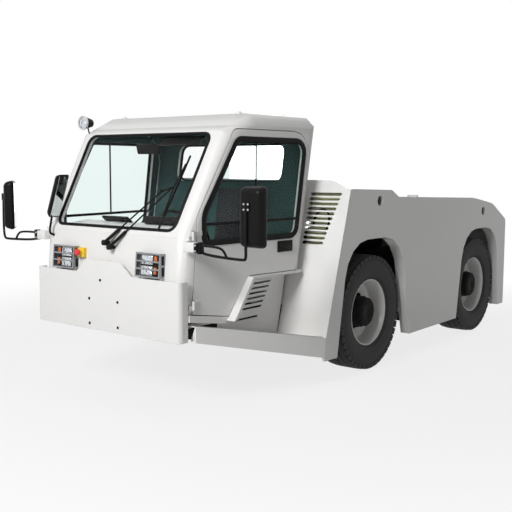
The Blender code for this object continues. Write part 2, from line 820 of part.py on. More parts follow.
def slot(centre, half_length, half_height, low, high, plane):
    """A cutter for one slot with round ends, centred at (along, up)."""
    along, up = centre
    corners = (
        Corner(along - half_length, up - half_height, half_height - SEAT),
        Corner(along + half_length, up - half_height, half_height - SEAT),
        Corner(along + half_length, up + half_height, half_height - SEAT),
        Corner(along - half_length, up + half_height, half_height - SEAT),
    )
    return slab(rounded(corners, 2), low, high, plane)


def make_bulkhead():
    """The leaning panel behind the cab: flat in the middle, swept wings with cooling slots."""
    crown = BULKHEAD_HEAD_HEIGHT + BULKHEAD_CROWN
    shoulder = SLOT_OUTER + SLOT_HEIGHT
    centre_bottom = FRAME_CAB_TOP + OVERRUN
    corners = []
    for side in (1, -1):
        half = [
            Corner(side * BULKHEAD_BEND, centre_bottom, 0.0),
            Corner(side * BULKHEAD_BEND, BULKHEAD_FOOT_HEIGHT, 0.0),
            Corner(side * BODY_HALF, BULKHEAD_FOOT_HEIGHT, 0.0),
            Corner(side * BODY_HALF, BULKHEAD_HEAD_HEIGHT, 0.010),
            Corner(side * shoulder, BULKHEAD_HEAD_HEIGHT, 0.150),
            Corner(side * (shoulder - 2 * BULKHEAD_CROWN), crown, 0.150),
        ]
        corners += half if side > 0 else half[::-1]
    panel = slab(rounded(corners), -BULKHEAD_THICK, 0, "front")
    cutters = []
    for side in (-1, 1):
        for row in range(SLOT_COUNT):
            outer = SLOT_OUTER - row * SLOT_TAPER
            middle = side * (outer + SLOT_INNER) / 2
            height = SLOT_TOP - row * SLOT_PITCH
            half = (outer - SLOT_INNER) / 2
            cutters.append(slot((middle, height), half, SLOT_HEIGHT / 2, -OVERRUN, OVERRUN, "front"))
    panel = cut(panel, *cutters)
    data = bmesh.new()
    data.from_mesh(panel.data)
    for across in (-BULKHEAD_BEND, BULKHEAD_BEND):
        geometry = data.verts[:] + data.edges[:] + data.faces[:]
        bmesh.ops.bisect_plane(data, geom=geometry, plane_co=(across, 0, 0), plane_no=(1, 0, 0))
    for vertex in data.verts:
        vertex.co.y += bulkhead_station(vertex.co.x, vertex.co.z) + BULKHEAD_THICK
    data.to_mesh(panel.data)
    data.free()
    keep(panel, "front_bulkhead", "white_paint")


def deck_points(first, last):
    """The deck line between two stations, as (station, height of the deck's top face)."""
    points = []
    for (start, start_up), (end, end_up) in zip(DECK_LINE, DECK_LINE[1:]):
        for station in (start, first, last, end):
            if max(start, first) <= station <= min(end, last):
                height = start_up + (end_up - start_up) * (station - start) / (end - start)
                if not points or station > points[-1][0] + EMBED:
                    points.append((station, height - DECK_SUNK))
    return points


def deck_sheet(first, last, half):
    top = deck_points(first, last)
    outline = top + [(station, height - DECK_THICK) for station, height in reversed(top)]
    return slab(outline, -half, half, "side")


def deck_height(station):
    return deck_points(station - OVERRUN, station)[-1][1]


def make_deck():
    """Cowl cover, hinged engine hood and rear deck between the side plates."""
    half = SIDE_INNER - SEAT
    cowl = deck_sheet(DECK_LINE[0][0], HOOD_FRONT, half)
    front = HOOD_FRONT + RUNNING_GAP
    rear = HOOD_REAR - RUNNING_GAP
    lip_top = deck_height(front) - DECK_THICK - SEAT
    lip_far = deck_height(front + HOOD_LIP) - DECK_THICK - SEAT
    lip = slab(
        [
            (HOOD_FRONT - HOOD_LIP, deck_height(HOOD_FRONT - HOOD_LIP) - DECK_THICK / 2),
            (HOOD_FRONT - HOOD_LIP, lip_far - DECK_THICK),
            (front + HOOD_LIP, lip_far - DECK_THICK),
            (front + HOOD_LIP, lip_far),
            (front, lip_top),
            (HOOD_FRONT - EMBED / 2, lip_top),
            (HOOD_FRONT - EMBED / 2, deck_height(HOOD_FRONT) - DECK_THICK / 2),
        ],
        -half,
        half,
        "side",
    )
    keep(unite(cowl, lip), "cowl_cover", "white_paint")
    axis_height = deck_height(HOOD_REAR) + HOOD_HINGE_RADIUS
    lid = deck_sheet(front, rear, SIDE_INNER - RUNNING_GAP)
    tail = deck_sheet(HOOD_REAR, DECK_LINE[-1][0] - SEAT, half)
    lid_parts = []
    tail_parts = []
    for side in (-1, 1):
        outer = side * HOOD_HINGE_HALF
        inner = outer - side * HOOD_HINGE_WIDTH
        middle = (outer + inner) / 2
        lid_parts.append(
            cylinder((outer, HOOD_REAR, axis_height), (middle, HOOD_REAR, axis_height), HOOD_HINGE_RADIUS)
        )
        low, high = sorted((outer, middle))
        heights = (deck_height(rear) - DECK_THICK / 2, axis_height)
        lid_parts.append(box((low, high), (rear - 2 * HOOD_HINGE_RADIUS, HOOD_REAR), heights))
        middle = middle - side * SEAT
        tail_parts.append(
            cylinder((middle, HOOD_REAR, axis_height), (inner, HOOD_REAR, axis_height), HOOD_HINGE_RADIUS)
        )
        low, high = sorted((middle, inner))
        heights = (deck_height(HOOD_REAR) - DECK_THICK / 2, axis_height)
        tail_parts.append(box((low, high), (HOOD_REAR, HOOD_REAR + 2 * HOOD_HINGE_RADIUS), heights))
    origin = (0, y_at(HOOD_REAR), axis_height)
    keep(unite(lid, *lid_parts), "engine_hood", "white_paint", origin)
    keep(unite(tail, *tail_parts), "rear_deck", "white_paint")
    top = DECK_LINE[-1][1] - DECK_SUNK
    rear_stations = (REAR_PLATE_STATION + SEAT, REAR_PLATE_STATION + SEAT + REAR_PLATE_THICK)
    plate = box((-half, half), rear_stations, (REAR_PLATE_BOTTOM, top))
    window = box(
        (-REAR_WINDOW_HALF, REAR_WINDOW_HALF),
        (REAR_PLATE_STATION - OVERRUN, REAR_PLATE_STATION + OVERRUN),
        (REAR_WINDOW_BOTTOM, REAR_WINDOW_TOP),
    )
    keep(cut(plate, window), "rear_plate", "white_paint")
    lamp_front = rear_stations[1] + SEAT
    across = (REAR_LAMP_ACROSS - REAR_LAMP_WIDTH / 2, REAR_LAMP_ACROSS + REAR_LAMP_WIDTH / 2)
    heights = (
        REAR_LAMP_CENTRE_HEIGHT - REAR_LAMP_HEIGHT / 2,
        REAR_LAMP_CENTRE_HEIGHT + REAR_LAMP_HEIGHT / 2,
    )
    keep_pair(box(across, (lamp_front, lamp_front + REAR_LAMP_DEPTH), heights), "rear_lamp", "red_lens")


def make_hitch():
    """A fork hitch with its drop pin on a plate inside the tail."""
    front = HITCH_WALL_STATION + SEAT
    half = HITCH_PLATE_WIDTH / 2
    low = HITCH_CENTRE_HEIGHT - HITCH_PLATE_HEIGHT / 2
    plate = box((-half, half), (front, front + HITCH_PLATE_THICK), (low, low + HITCH_PLATE_HEIGHT))
    jaws = []
    pin_station = front + HITCH_JAW_REACH - HITCH_JAW_WIDTH / 2
    for side in (-1, 1):
        inner = HITCH_CENTRE_HEIGHT + side * HITCH_JAW_GAP / 2
        heights = sorted((inner, inner + side * HITCH_JAW_THICK))
        half = HITCH_JAW_WIDTH / 2
        outline = rounded(
            (
                Corner(-half, front + EMBED, 0.0),
                Corner(half, front + EMBED, 0.0),
                Corner(half, front + HITCH_JAW_REACH, half / 2),
                Corner(-half, front + HITCH_JAW_REACH, half / 2),
            )
        )
        jaws.append(slab(outline, *heights, "plan"))
    reach = HITCH_JAW_GAP / 2 + HITCH_JAW_THICK + HITCH_PIN_RADIUS
    ends = [(0, pin_station, HITCH_CENTRE_HEIGHT + side * reach) for side in (-1, 1)]
    pin = cylinder(*ends, HITCH_PIN_RADIUS)
    keep(unite(plate, *jaws, pin), "tow_hitch", "cast_metal")


def make_front_plate():
    """The thick front plate with a raised middle and short side returns."""
    outer = (
        Corner(-PLATE_HALF, PLATE_RETURN, 0.0),
        Corner(-PLATE_HALF, 0.0, PLATE_CORNER_RADIUS),
        Corner(PLATE_HALF, 0.0, PLATE_CORNER_RADIUS),
        Corner(PLATE_HALF, PLATE_RETURN, 0.0),
    )
    inner_half = PLATE_HALF - PLATE_THICK
    inner_radius = PLATE_CORNER_RADIUS - PLATE_THICK
    inner = (
        Corner(-inner_half, PLATE_RETURN + OVERRUN, 0.0),
        Corner(-inner_half, PLATE_THICK, inner_radius),
        Corner(inner_half, PLATE_THICK, inner_radius),
        Corner(inner_half, PLATE_RETURN + OVERRUN, 0.0),
    )
    channel = slab(rounded(outer), PLATE_BOTTOM, PLATE_BUMP_TOP, "plan")
    channel = cut(channel, slab(rounded(inner), 0, 2 * PLATE_BUMP_TOP, "plan"))
    face = (
        Corner(-PLATE_HALF - OVERRUN, PLATE_BOTTOM - OVERRUN, 0.0),
        Corner(PLATE_HALF + OVERRUN, PLATE_BOTTOM - OVERRUN, 0.0),
        Corner(PLATE_HALF + OVERRUN, PLATE_TOP, 0.0),
        Corner(PLATE_BUMP_FOOT, PLATE_TOP, 0.030),
        Corner(PLATE_BUMP_HALF, PLATE_BUMP_TOP, 0.030),
        Corner(-PLATE_BUMP_HALF, PLATE_BUMP_TOP, 0.030),
        Corner(-PLATE_BUMP_FOOT, PLATE_TOP, 0.030),
        Corner(-PLATE_HALF - OVERRUN, PLATE_TOP, 0.0),
    )
    plate = common(channel, slab(rounded(face), -OVERRUN, PLATE_RETURN + OVERRUN, "front"))
    keep(plate, "front_plate", "white_paint")


def make_steps():
    """A folded step on each side: a deck that slopes down rearward and a flared outer skin."""
    inner = TUB_HALF + SEAT
    data = bmesh.new()
    sections = []
    for half, top, bottom in (
        (STEP_FRONT_HALF, STEP_FRONT_TOP, STEP_FRONT_BOTTOM),
        (BODY_HALF, STEP_REAR_TOP, STEP_REAR_BOTTOM),
    ):
        ring = (
            (inner, top),
            (half, top),
            (half, bottom),
            (half - STEP_LIP, bottom),
            (half - STEP_LIP, bottom + STEP_THICK),
            (half - STEP_THICK, bottom + STEP_THICK),
            (half - STEP_THICK, top - STEP_THICK),
            (inner, top - STEP_THICK),
        )
        section = []
        for across, up in ring:
            station = STEP_FRONT_STATION
            if half == BODY_HALF:
                station = skirt_station(across, up) - SEAT
            section.append(data.verts.new((across, y_at(station), up)))
        sections.append(section)
    first, last = sections
    count = len(first)
    for index in range(count):
        following = (index + 1) % count
        data.faces.new((first[index], first[following], last[following], last[index]))
    data.faces.new(first)
    data.faces.new(last)
    bmesh.ops.triangulate(data, faces=data.faces)
    bmesh.ops.recalc_face_normals(data, faces=data.faces)
    mesh = bpy.data.meshes.new("step")
    data.to_mesh(mesh)
    data.free()
    keep_pair(link("step", mesh), "step", "white_paint")


def make_cab_base():
    """Floor pan, footwell tub with ventilation gills, and the cut-away over each step."""
    foot, heel, knee, shelf = [corner[:2] for corner in CAB_PROFILE[:4]]
    line = [(station, height - SEAT) for station, height in (foot, heel, knee, shelf)]
    front = PLATE_RETURN + RUNNING_GAP
    start = (front, up_at(CAB_PROFILE[0], CAB_PROFILE[1], front) - SEAT)
    lower = [(line[1][0] - NICHE_THICK, line[1][1] - FLOOR_THICK), (start[0], start[1] - FLOOR_THICK)]
    floor_half = cab_half(heel[0]) - EMBED
    pan = slab([start, line[1], *lower], -floor_half, floor_half, "side")
    niche_line = [line[1], line[2], line[3]]
    inward = [(station + NICHE_THICK, height - NICHE_THICK) for station, height in niche_line]
    inward[2] = (niche_line[2][0], niche_line[2][1] - NICHE_THICK)
    rooted = (niche_line[0][0] - NICHE_THICK, niche_line[0][1] - FLOOR_THICK / 2)
    pieces = []
    for side in (-1, 1):
        low, high = sorted((side * (TUB_HALF - TUB_WALL), side * cab_half(shelf[0])))
        pieces.append(slab(niche_line + inward[::-1] + [rooted], low, high, "side"))
        low, high = sorted((side * (TUB_HALF - TUB_WALL), side * TUB_HALF))
        rear_low = bulkhead_station(TUB_HALF, TUB_BOTTOM) - SEAT
        rear_high = bulkhead_station(TUB_HALF, shelf[1]) - SEAT
        wall = [
            (TUB_FRONT, TUB_FLOOR_TOP - TUB_FLOOR_THICK),
            (TUB_FRONT, step_top(TUB_FRONT) - OVERRUN),
            (rear_low - EMBED, step_top(rear_low) - STEP_THICK),
            (min(rear_low, rear_high) - EMBED, TUB_BOTTOM),
            (shelf[0], knee[1] - NICHE_THICK / 2),
            (knee[0] + NICHE_THICK / 2, knee[1] - NICHE_THICK / 2),
            (heel[0] + NICHE_THICK / 2, heel[1] - NICHE_THICK / 2),
        ]
        panel = slab(wall, low, high, "side")
        gills = []
        for row in range(GILL_COUNT):
            centre = (GILL_START - row * GILL_STEP + GILL_LENGTH / 2, GILL_TOP - row * GILL_PITCH)
            across = (low - OVERRUN, high + OVERRUN)
            gills.append(slot(centre, GILL_LENGTH / 2, GILL_HEIGHT / 2, *across, "side"))
        pieces.append(cut(panel, *gills))
    floor_heights = (TUB_FLOOR_TOP - TUB_FLOOR_THICK, TUB_FLOOR_TOP)
    tub_across = (-TUB_HALF + TUB_WALL / 2, TUB_HALF - TUB_WALL / 2)
    pieces.append(box((-TUB_HALF, TUB_HALF), (front + RUNNING_GAP, TUB_REAR), floor_heights))
    rear_wall = (TUB_REAR - TUB_WALL, TUB_REAR)
    pieces.append(box(tub_across, rear_wall, (floor_heights[0], shelf[1] - NICHE_THICK / 2)))
    shelf_stations = (TUB_REAR - TUB_WALL, shelf[0])
    shelf_heights = (line[3][1] - NICHE_THICK, line[3][1])
    pieces.append(box(tub_across, shelf_stations, shelf_heights))
    keep(unite(pan, *pieces), "cab_base", "white_paint")


def cab_solid(inset):
    """The cab's closed outer form, moved inwards by an inset, and open-ended below."""
    below = -OVERRUN - inset if inset else 0.0
    distances = [inset if corner.wall_follows else below for corner in CAB_PROFILE]
    ring = offset(CAB_PROFILE, distances)
    data = bmesh.new()
    sides = []
    for side in (-1, 1):
        loop = []
        for station, height in ring:
            loop.append(data.verts.new((side * (cab_half(station) - inset), y_at(station), height)))
        sides.append(loop)
        data.faces.new(loop)
    count = len(ring)
    for index in range(count):
        following = (index + 1) % count
        data.faces.new((sides[0][index], sides[0][following], sides[1][following], sides[1][index]))
    corner_edges = []
    for loop in sides:
        for index, corner in enumerate(CAB_PROFILE):
            if corner.wall_follows:
                corner_edges.append(data.edges.get((loop[index], loop[(index + 1) % count])))
    bmesh.ops.recalc_face_normals(data, faces=data.faces)
    bmesh.ops.bevel(
        data,
        geom=corner_edges,
        offset=CAB_CORNER_RADIUS - inset,
        segments=CAB_CORNER_STEPS,
        profile=0.5,
        affect="EDGES",
        material=-1,
    )
    bmesh.ops.triangulate(data, faces=data.faces)
    bmesh.ops.recalc_face_normals(data, faces=data.faces)
    mesh = bpy.data.meshes.new("cab")
    data.to_mesh(mesh)
    data.free()
    return link("cab", mesh)


def cab_layer(outer_inset, inner_inset):
    """The part of the cab between two insets from its outer skin."""
    return cut(cab_solid(outer_inset), cab_solid(inner_inset))


def screen_outline(grow):
    return rounded(
        grown(
            (
                Corner(-SCREEN_BOTTOM_HALF, SCREEN_BOTTOM, SCREEN_CORNER),
                Corner(SCREEN_BOTTOM_HALF, SCREEN_BOTTOM, SCREEN_CORNER),
                Corner(SCREEN_TOP_HALF, SCREEN_TOP, SCREEN_CORNER),
                Corner(-SCREEN_TOP_HALF, SCREEN_TOP, SCREEN_CORNER),
            ),
            grow,
        )
    )


def rear_glass_outline(grow):
    return rounded(
        grown(
            (
                Corner(-REAR_GLASS_HALF, REAR_GLASS_BOTTOM, REAR_GLASS_CORNER),
                Corner(REAR_GLASS_HALF, REAR_GLASS_BOTTOM, REAR_GLASS_CORNER),
                Corner(REAR_GLASS_HALF, REAR_GLASS_TOP, REAR_GLASS_CORNER),
                Corner(-REAR_GLASS_HALF, REAR_GLASS_TOP, REAR_GLASS_CORNER),
            ),
            grow,
        )
    )


def door_opening():
    """The door's outline with its clearance, open at the cab's bottom edge."""
    low = min(corner.up for corner in DOOR) - OVERRUN
    corners = (
        Corner(along_at(DOOR[0], DOOR[-1], low), low, 0.0),
        Corner(along_at(DOOR[3], DOOR[4], low), low, 0.0),
    )
    return rounded(grown(corners + DOOR[4:], DOOR_GAP))


def hinge_across():
    return cab_half(DOOR[0].along) + HINGE_OUT


def hinge_half(is_door, low, high):
    """Barrels and leaves of the left door's hinges, between two heights over each hinge."""
    pieces = []
    across = hinge_across()
    axis = DOOR[0].along
    skin = across - HINGE_OUT
    for height in HINGE_HEIGHTS:
        ends = [(across, axis, height + end) for end in (low, high)]
        pieces.append(cylinder(*ends, HINGE_RADIUS, HINGE_STEPS))
        edge = along_at(DOOR[0], DOOR[-1], height)
        foot = (edge + RUNNING_GAP, edge + HINGE_LEAF)
        strap = (axis, edge + HINGE_LEAF)
        if not is_door:
            foot = (axis - HINGE_LEAF, axis - RUNNING_GAP)
            strap = (axis - HINGE_LEAF, axis)
        heights = (height + low, height + high)
        pieces.append(box((skin + RUNNING_GAP, across), strap, heights))
        pieces.append(box((skin - CAB_WALL / 2, across), foot, heights))
    return pieces


def make_cab():
    """The cab shell split where its panels meet: front panel, frame, roof, doors and glass."""
    far = OVERRUN + BODY_HALF
    screen_depth = (-OVERRUN, CAB_PROFILE[7].along)
    rear_depth = (TUB_REAR, CAB_PROFILE[4].along + OVERRUN)
    openings = [
        slab(screen_outline(0.0), *screen_depth, "front"),
        slab(rear_glass_outline(0.0), *rear_depth, "front"),
        slab(door_opening(), -far, far, "side"),
    ]
    shell = cut(cab_layer(0.0, CAB_WALL), *openings)
    everything = (-far, far)
    above = (ROOF_SPLIT_HEIGHT, ROOF_SPLIT_HEIGHT + BODY_WIDTH)
    roof_zone = box(everything, (-OVERRUN, OVERALL_LENGTH), above)
    roof = common(copy_of(shell), copy_of(roof_zone))
    keep(roof, "cab_roof", "white_paint")
    roof_zone.data.transform(Matrix.Translation((0, 0, -SEAT)))
    front_split = (-OVERRUN, FRONT_SPLIT_STATION)
    half = CAB_FRONT_HALF - CAB_CORNER_RADIUS - SEAT
    front_zone = box((-half, half), front_split, (0, FRONT_SPLIT_HEIGHT))
    front = common(copy_of(shell), copy_of(front_zone))
    keep(front, "cab_front", "white_paint")
    wider = Matrix.Diagonal(((half + SEAT) / half, 1, (FRONT_SPLIT_HEIGHT + SEAT) / FRONT_SPLIT_HEIGHT, 1))
    front_zone.data.transform(wider)
    frame = cut(shell, roof_zone, front_zone)
    barrels = hinge_half(False, -HINGE_BARREL, 0.0)
    barrels += [mirrored(piece) for piece in barrels]
    keep(unite(frame, *barrels), "cab_frame", "white_paint")

    side = CAB_FRONT_HALF - CAB_CORNER_RADIUS
    door = common(cab_layer(0.0, CAB_WALL), slab(rounded(DOOR), side, far, "side"))
    door = cut(door, slab(rounded(DOOR_WINDOW), 0, far, "side"))
    door = unite(door, *hinge_half(True, SEAT, HINGE_BARREL))
    origin = (hinge_across(), y_at(DOOR[0].along), DOOR[0].up)
    keep_pair(door, "door", "white_paint", origin)
    pane = common(
        cab_layer(GLASS_SUNK, GLASS_SUNK + GLASS_THICK),
        slab(rounded(grown(DOOR_WINDOW, -SEAT)), side, far, "side"),
    )
    keep_pair(pane, "door_glass", "tinted_glass", origin)
    screen = common(
        cab_layer(GLASS_SUNK, GLASS_SUNK + GLASS_THICK),
        slab(screen_outline(-SEAT), *screen_depth, "front"),
    )
    keep(screen, "windscreen", "tinted_glass")
    rear = common(
        cab_layer(GLASS_SUNK, GLASS_SUNK + GLASS_THICK),
        slab(rear_glass_outline(-SEAT), *rear_depth, "front"),
    )
    keep(rear, "rear_window", "tinted_glass")


def panel_lean():
    """Angle by which the panel below the windscreen leans back."""
    foot, top = CAB_PROFILE[0], CAB_PROFILE[-1]
    return math.atan2(top.along - foot.along, top.up - foot.up)


def panel_point(across, height, proud):
    """A point at a distance ahead of the front panel, as (across, station, height)."""
    station = along_at(CAB_PROFILE[0], CAB_PROFILE[-1], height)
    lean = panel_lean()
    return (across, station - proud * math.cos(lean), height + proud * math.sin(lean))


def on_panel(piece, across, height):
    """Moves a piece built at the origin, its back at Y = 0, onto the leaning front panel."""
    base = panel_point(across, height, SEAT)
    place = Matrix.Translation((base[0], y_at(base[1]), base[2]))
    piece.data.transform(place @ Matrix.Rotation(-panel_lean(), 4, "X"))
    return piece


def local_box(across, depths, heights):
    """A block about the origin: depths count forwards from the panel."""
    return box(across, (HALF_LENGTH - depths[1], HALF_LENGTH - depths[0]), heights)


def make_lamps():
    """Headlamps behind bar guards, and the stop button."""
    half = LAMP_WIDTH / 2
    tall = LAMP_TALL / 2
    lamp = local_box((-half, half), (0, LAMP_DEPTH), (-tall, tall))
    lamp = on_panel(lamp, LAMP_ACROSS, LAMP_HEIGHT)
    keep_pair(lamp, "headlamp", "lamp_glass")
    wide = GUARD_WIDTH / 2
    high = GUARD_TALL / 2
    bar = 2 * GUARD_BAR_RADIUS
    parts = []
    for side in (-1, 1):
        low, far = sorted((side * wide, side * (wide - bar)))
        parts.append(local_box((low, far), (0, GUARD_PROUD), (-high, high)))
    for row in range(GUARD_BAR_COUNT):
        middle = -high + bar / 2 + row * (GUARD_TALL - bar) / (GUARD_BAR_COUNT - 1)
        depths = (GUARD_PROUD - bar, GUARD_PROUD)
        across = (-wide + EMBED, wide - EMBED)
        parts.append(local_box(across, depths, (middle - bar / 2 + SEAT, middle + bar / 2 - SEAT)))
    guard = on_panel(unite(*parts), LAMP_ACROSS, LAMP_HEIGHT)
    keep_pair(guard, "lamp_guard", "guard_steel")
    half = STOP_SIZE / 2
    cover = local_box((-half, half), (0, STOP_DEPTH), (-half, half))
    button = cylinder(
        (0, HALF_LENGTH - STOP_DEPTH + EMBED, 0),
        (0, HALF_LENGTH - STOP_DEPTH - STOP_BUTTON_PROUD, 0),
        STOP_BUTTON_RADIUS,
    )
    keep(on_panel(unite(cover, button), STOP_ACROSS, STOP_HEIGHT), "emergency_stop", "stop_yellow")


def make_inside():
    """Dashboard, steering wheel on its column, and the driver's seat."""
    wall = CAB_PROFILE[0].along + CAB_WALL
    top_wall = panel_point(0, DASH_TOP, 0)[1] + CAB_WALL + SEAT
    low_wall = panel_point(0, DASH_BOTTOM, 0)[1] + CAB_WALL + SEAT
    outline = [
        (low_wall, DASH_BOTTOM),
        (wall + DASH_DEPTH / 2, DASH_BOTTOM),
        (wall + DASH_DEPTH, DASH_TOP - DASH_DEPTH / 2),
        (wall + DASH_DEPTH, DASH_TOP - DASH_DEPTH / 4),
        (top_wall, DASH_TOP),
    ]
    keep(slab(outline, -DASH_HALF, DASH_HALF, "side"), "dashboard", "cab_trim")
    wheel_centre = Vector((STEERING_ACROSS, STEERING_WHEEL_STATION, STEERING_WHEEL_HEIGHT))
    foot = Vector((STEERING_ACROSS, wall + DASH_DEPTH - COLUMN_RADIUS, DASH_TOP - DASH_DEPTH / 2))
    axis = (wheel_centre - foot).normalized()
    side = Vector((1, 0, 0))
    up = axis.cross(side)
    ring = []
    for step in range(ROUND_STEPS):
        angle = math.tau * step / ROUND_STEPS
        ring.append(wheel_centre + (side * math.cos(angle) + up * math.sin(angle)) * STEERING_WHEEL_RADIUS)
    rim = tube([tuple(point) for point in ring], STEERING_GRIP_RADIUS, cyclic=True, resolution=1)
    column = cylinder(foot, wheel_centre + axis * STEERING_GRIP_RADIUS, COLUMN_RADIUS)
    column = cut(column, slab(offset(outline, [-SEAT] * len(outline)), -DASH_HALF, DASH_HALF, "side"))
    spokes = []
    for degrees in STEERING_SPOKE_ANGLES:
        angle = math.radians(degrees)
        tip = wheel_centre + (side * math.cos(angle) + up * math.sin(angle)) * STEERING_WHEEL_RADIUS
        spokes.append(cylinder(wheel_centre, tip, STEERING_GRIP_RADIUS * 2 / 3, SMALL_BAR_STEPS))
    keep(unite(column, rim, *spokes), "steering_wheel", "black_plastic")

    half = SEAT_WIDTH / 2
    base_half = SEAT_BASE_WIDTH / 2
    across = (SEAT_ACROSS - half, SEAT_ACROSS + half)
    rear = SEAT_FRONT + SEAT_DEPTH
    cushion = box(across, (SEAT_FRONT, rear), (SEAT_TOP - SEAT_CUSHION, SEAT_TOP))
    back_outline = [
        (rear - SEAT_BACK_THICK / 2, SEAT_TOP - SEAT_CUSHION),
        (rear + SEAT_BACK_THICK / 2, SEAT_TOP - SEAT_CUSHION),
        (rear + SEAT_BACK_THICK, SEAT_TOP + SEAT_BACK_HEIGHT),
        (rear, SEAT_TOP + SEAT_BACK_HEIGHT),
    ]
    back = slab(back_outline, *across, "side")
    pedestal = box(
        (SEAT_ACROSS - base_half, SEAT_ACROSS + base_half),
        (SEAT_FRONT + SEAT_CUSHION / 2, rear - SEAT_BACK_THICK),
        (TUB_FLOOR_TOP + SEAT, SEAT_TOP - SEAT_CUSHION + EMBED),
    )
    keep(unite(cushion, back, pedestal), "driver_seat", "seat_cloth")


def make_mirror():
    """An outside mirror: housing, bent tube arm and the block that clamps it to the pillar."""
    half_width = MIRROR_HEAD_WIDTH / 2
    half_tall = MIRROR_HEAD_TALL / 2
    middle = MIRROR_HEAD_ACROSS
    corner = MIRROR_HEAD_DEPTH / 2
    outline = rounded(
        (
            Corner(middle - half_width, MIRROR_HEAD_HEIGHT - half_tall, corner),
            Corner(middle + half_width, MIRROR_HEAD_HEIGHT - half_tall, corner),
            Corner(middle + half_width, MIRROR_HEAD_HEIGHT + half_tall, corner),
            Corner(middle - half_width, MIRROR_HEAD_HEIGHT + half_tall, corner),
        )
    )
    stations = (MIRROR_HEAD_STATION - MIRROR_HEAD_DEPTH / 2, MIRROR_HEAD_STATION + MIRROR_HEAD_DEPTH / 2)
    head = slab(outline, *stations, "front")
    block_height = HINGE_HEIGHTS[1] - HINGE_BARREL - RUNNING_GAP - MIRROR_BLOCK / 2
    block_station = CAB_CORNER_RADIUS
    block_across = cab_half(block_station)
    block = box(
        (block_across - CAB_CORNER_RADIUS, block_across + MIRROR_BLOCK / 2),
        (block_station - MIRROR_BLOCK / 2, block_station + MIRROR_BLOCK / 2),
        (block_height - MIRROR_BLOCK / 2, block_height + MIRROR_BLOCK / 2),
    )
    block = cut(block, cab_solid(-SEAT))
    arm = tube(
        [
            (block_across + MIRROR_BLOCK / 4, block_station, block_height),
            (middle - half_width, block_station, block_height - MIRROR_BLOCK / 2),
            (middle, MIRROR_HEAD_STATION - MIRROR_HEAD_DEPTH / 4, block_height - MIRROR_BLOCK / 2),
            (middle, MIRROR_HEAD_STATION - MIRROR_HEAD_DEPTH / 4, MIRROR_HEAD_HEIGHT),
        ],
        MIRROR_TUBE_RADIUS,
    )
    return unite(head, block, arm)


def make_axle(name, station, arm_side):
    """A drive axle across the vehicle with a yoke at each end and its steering cylinder."""
    hub = HUB_HEIGHT
    yoke_back = KINGPIN_ACROSS - YOKE_BACK
    profile = [
        (-yoke_back - EMBED, 0.0),
        (-yoke_back - EMBED, AXLE_TUBE_RADIUS),
        (-DIFF_HALF, AXLE_TUBE_RADIUS),
        (-DIFF_HALF / 2, DIFF_RADIUS * DIFF_SHOULDER_SHARE),
        (0.0, DIFF_RADIUS),
        (DIFF_HALF / 2, DIFF_RADIUS * DIFF_SHOULDER_SHARE),
        (DIFF_HALF, AXLE_TUBE_RADIUS),
        (yoke_back + EMBED, AXLE_TUBE_RADIUS),
        (yoke_back + EMBED, 0.0),
    ]
    beam = turned(profile, (0, station, hub), ROUND_STEPS)
    pieces = []
    half_knuckle = KNUCKLE_HEIGHT / 2
    ear_low = half_knuckle + PIN_GAP
    ear_high = ear_low + YOKE_THICK
    stations = (station - YOKE_WIDTH / 2, station + YOKE_WIDTH / 2)
    for side in (-1, 1):
        low, high = sorted((side * yoke_back, side * (yoke_back + YOKE_THICK)))
        pieces.append(box((low, high), stations, (hub - ear_high, hub + ear_high)))
        for end in (-1, 1):
            heights = sorted((hub + end * ear_low, hub + end * ear_high))
            low, high = sorted((side * yoke_back, side * (KINGPIN_ACROSS + YOKE_REACH)))
            ear = box((low, high), stations, heights)
            bore = (heights[0] - EMBED, heights[1] + EMBED)
            bore_ends = [(side * KINGPIN_ACROSS, station, height) for height in bore]
            pieces.append(cut(ear, cylinder(*bore_ends, KINGPIN_RADIUS + PIN_GAP)))
        low, high = sorted((side * (FRAME_HALF - FRAME_THICK - OVERRUN), side * FRAME_HALF))
        pad = (station - AXLE_PAD_LENGTH / 2, station + AXLE_PAD_LENGTH / 2)
        pieces.append(box((low, high), pad, (hub, FRAME_ARCH_TOP - SEAT)))
    cylinder_station = station + arm_side * STEER_CYLINDER_OFFSET
    low_height = hub - KNUCKLE_DRUM_RADIUS + STEER_ARM_THICK / 2
    half = STEER_CYLINDER_LENGTH / 2
    ends = [(across, cylinder_station, low_height) for across in (-half, half)]
    pieces.append(cylinder(*ends, STEER_CYLINDER_RADIUS))
    ends = [(across, cylinder_station, low_height) for across in (-STEER_ROD_REACH, STEER_ROD_REACH)]
    pieces.append(cylinder(*ends, STEER_ROD_RADIUS, SMALL_BAR_STEPS))
    for side in (-1, 1):
        low, high = sorted((side * half / 3, side * half * 2 / 3))
        span = sorted((station, cylinder_station))
        heights = (low_height - STEER_ROD_RADIUS, low_height + STEER_ROD_RADIUS)
        pieces.append(box((low, high), span, heights))
    keep(unite(beam, *pieces), name, "black_paint", (0, y_at(station), hub))


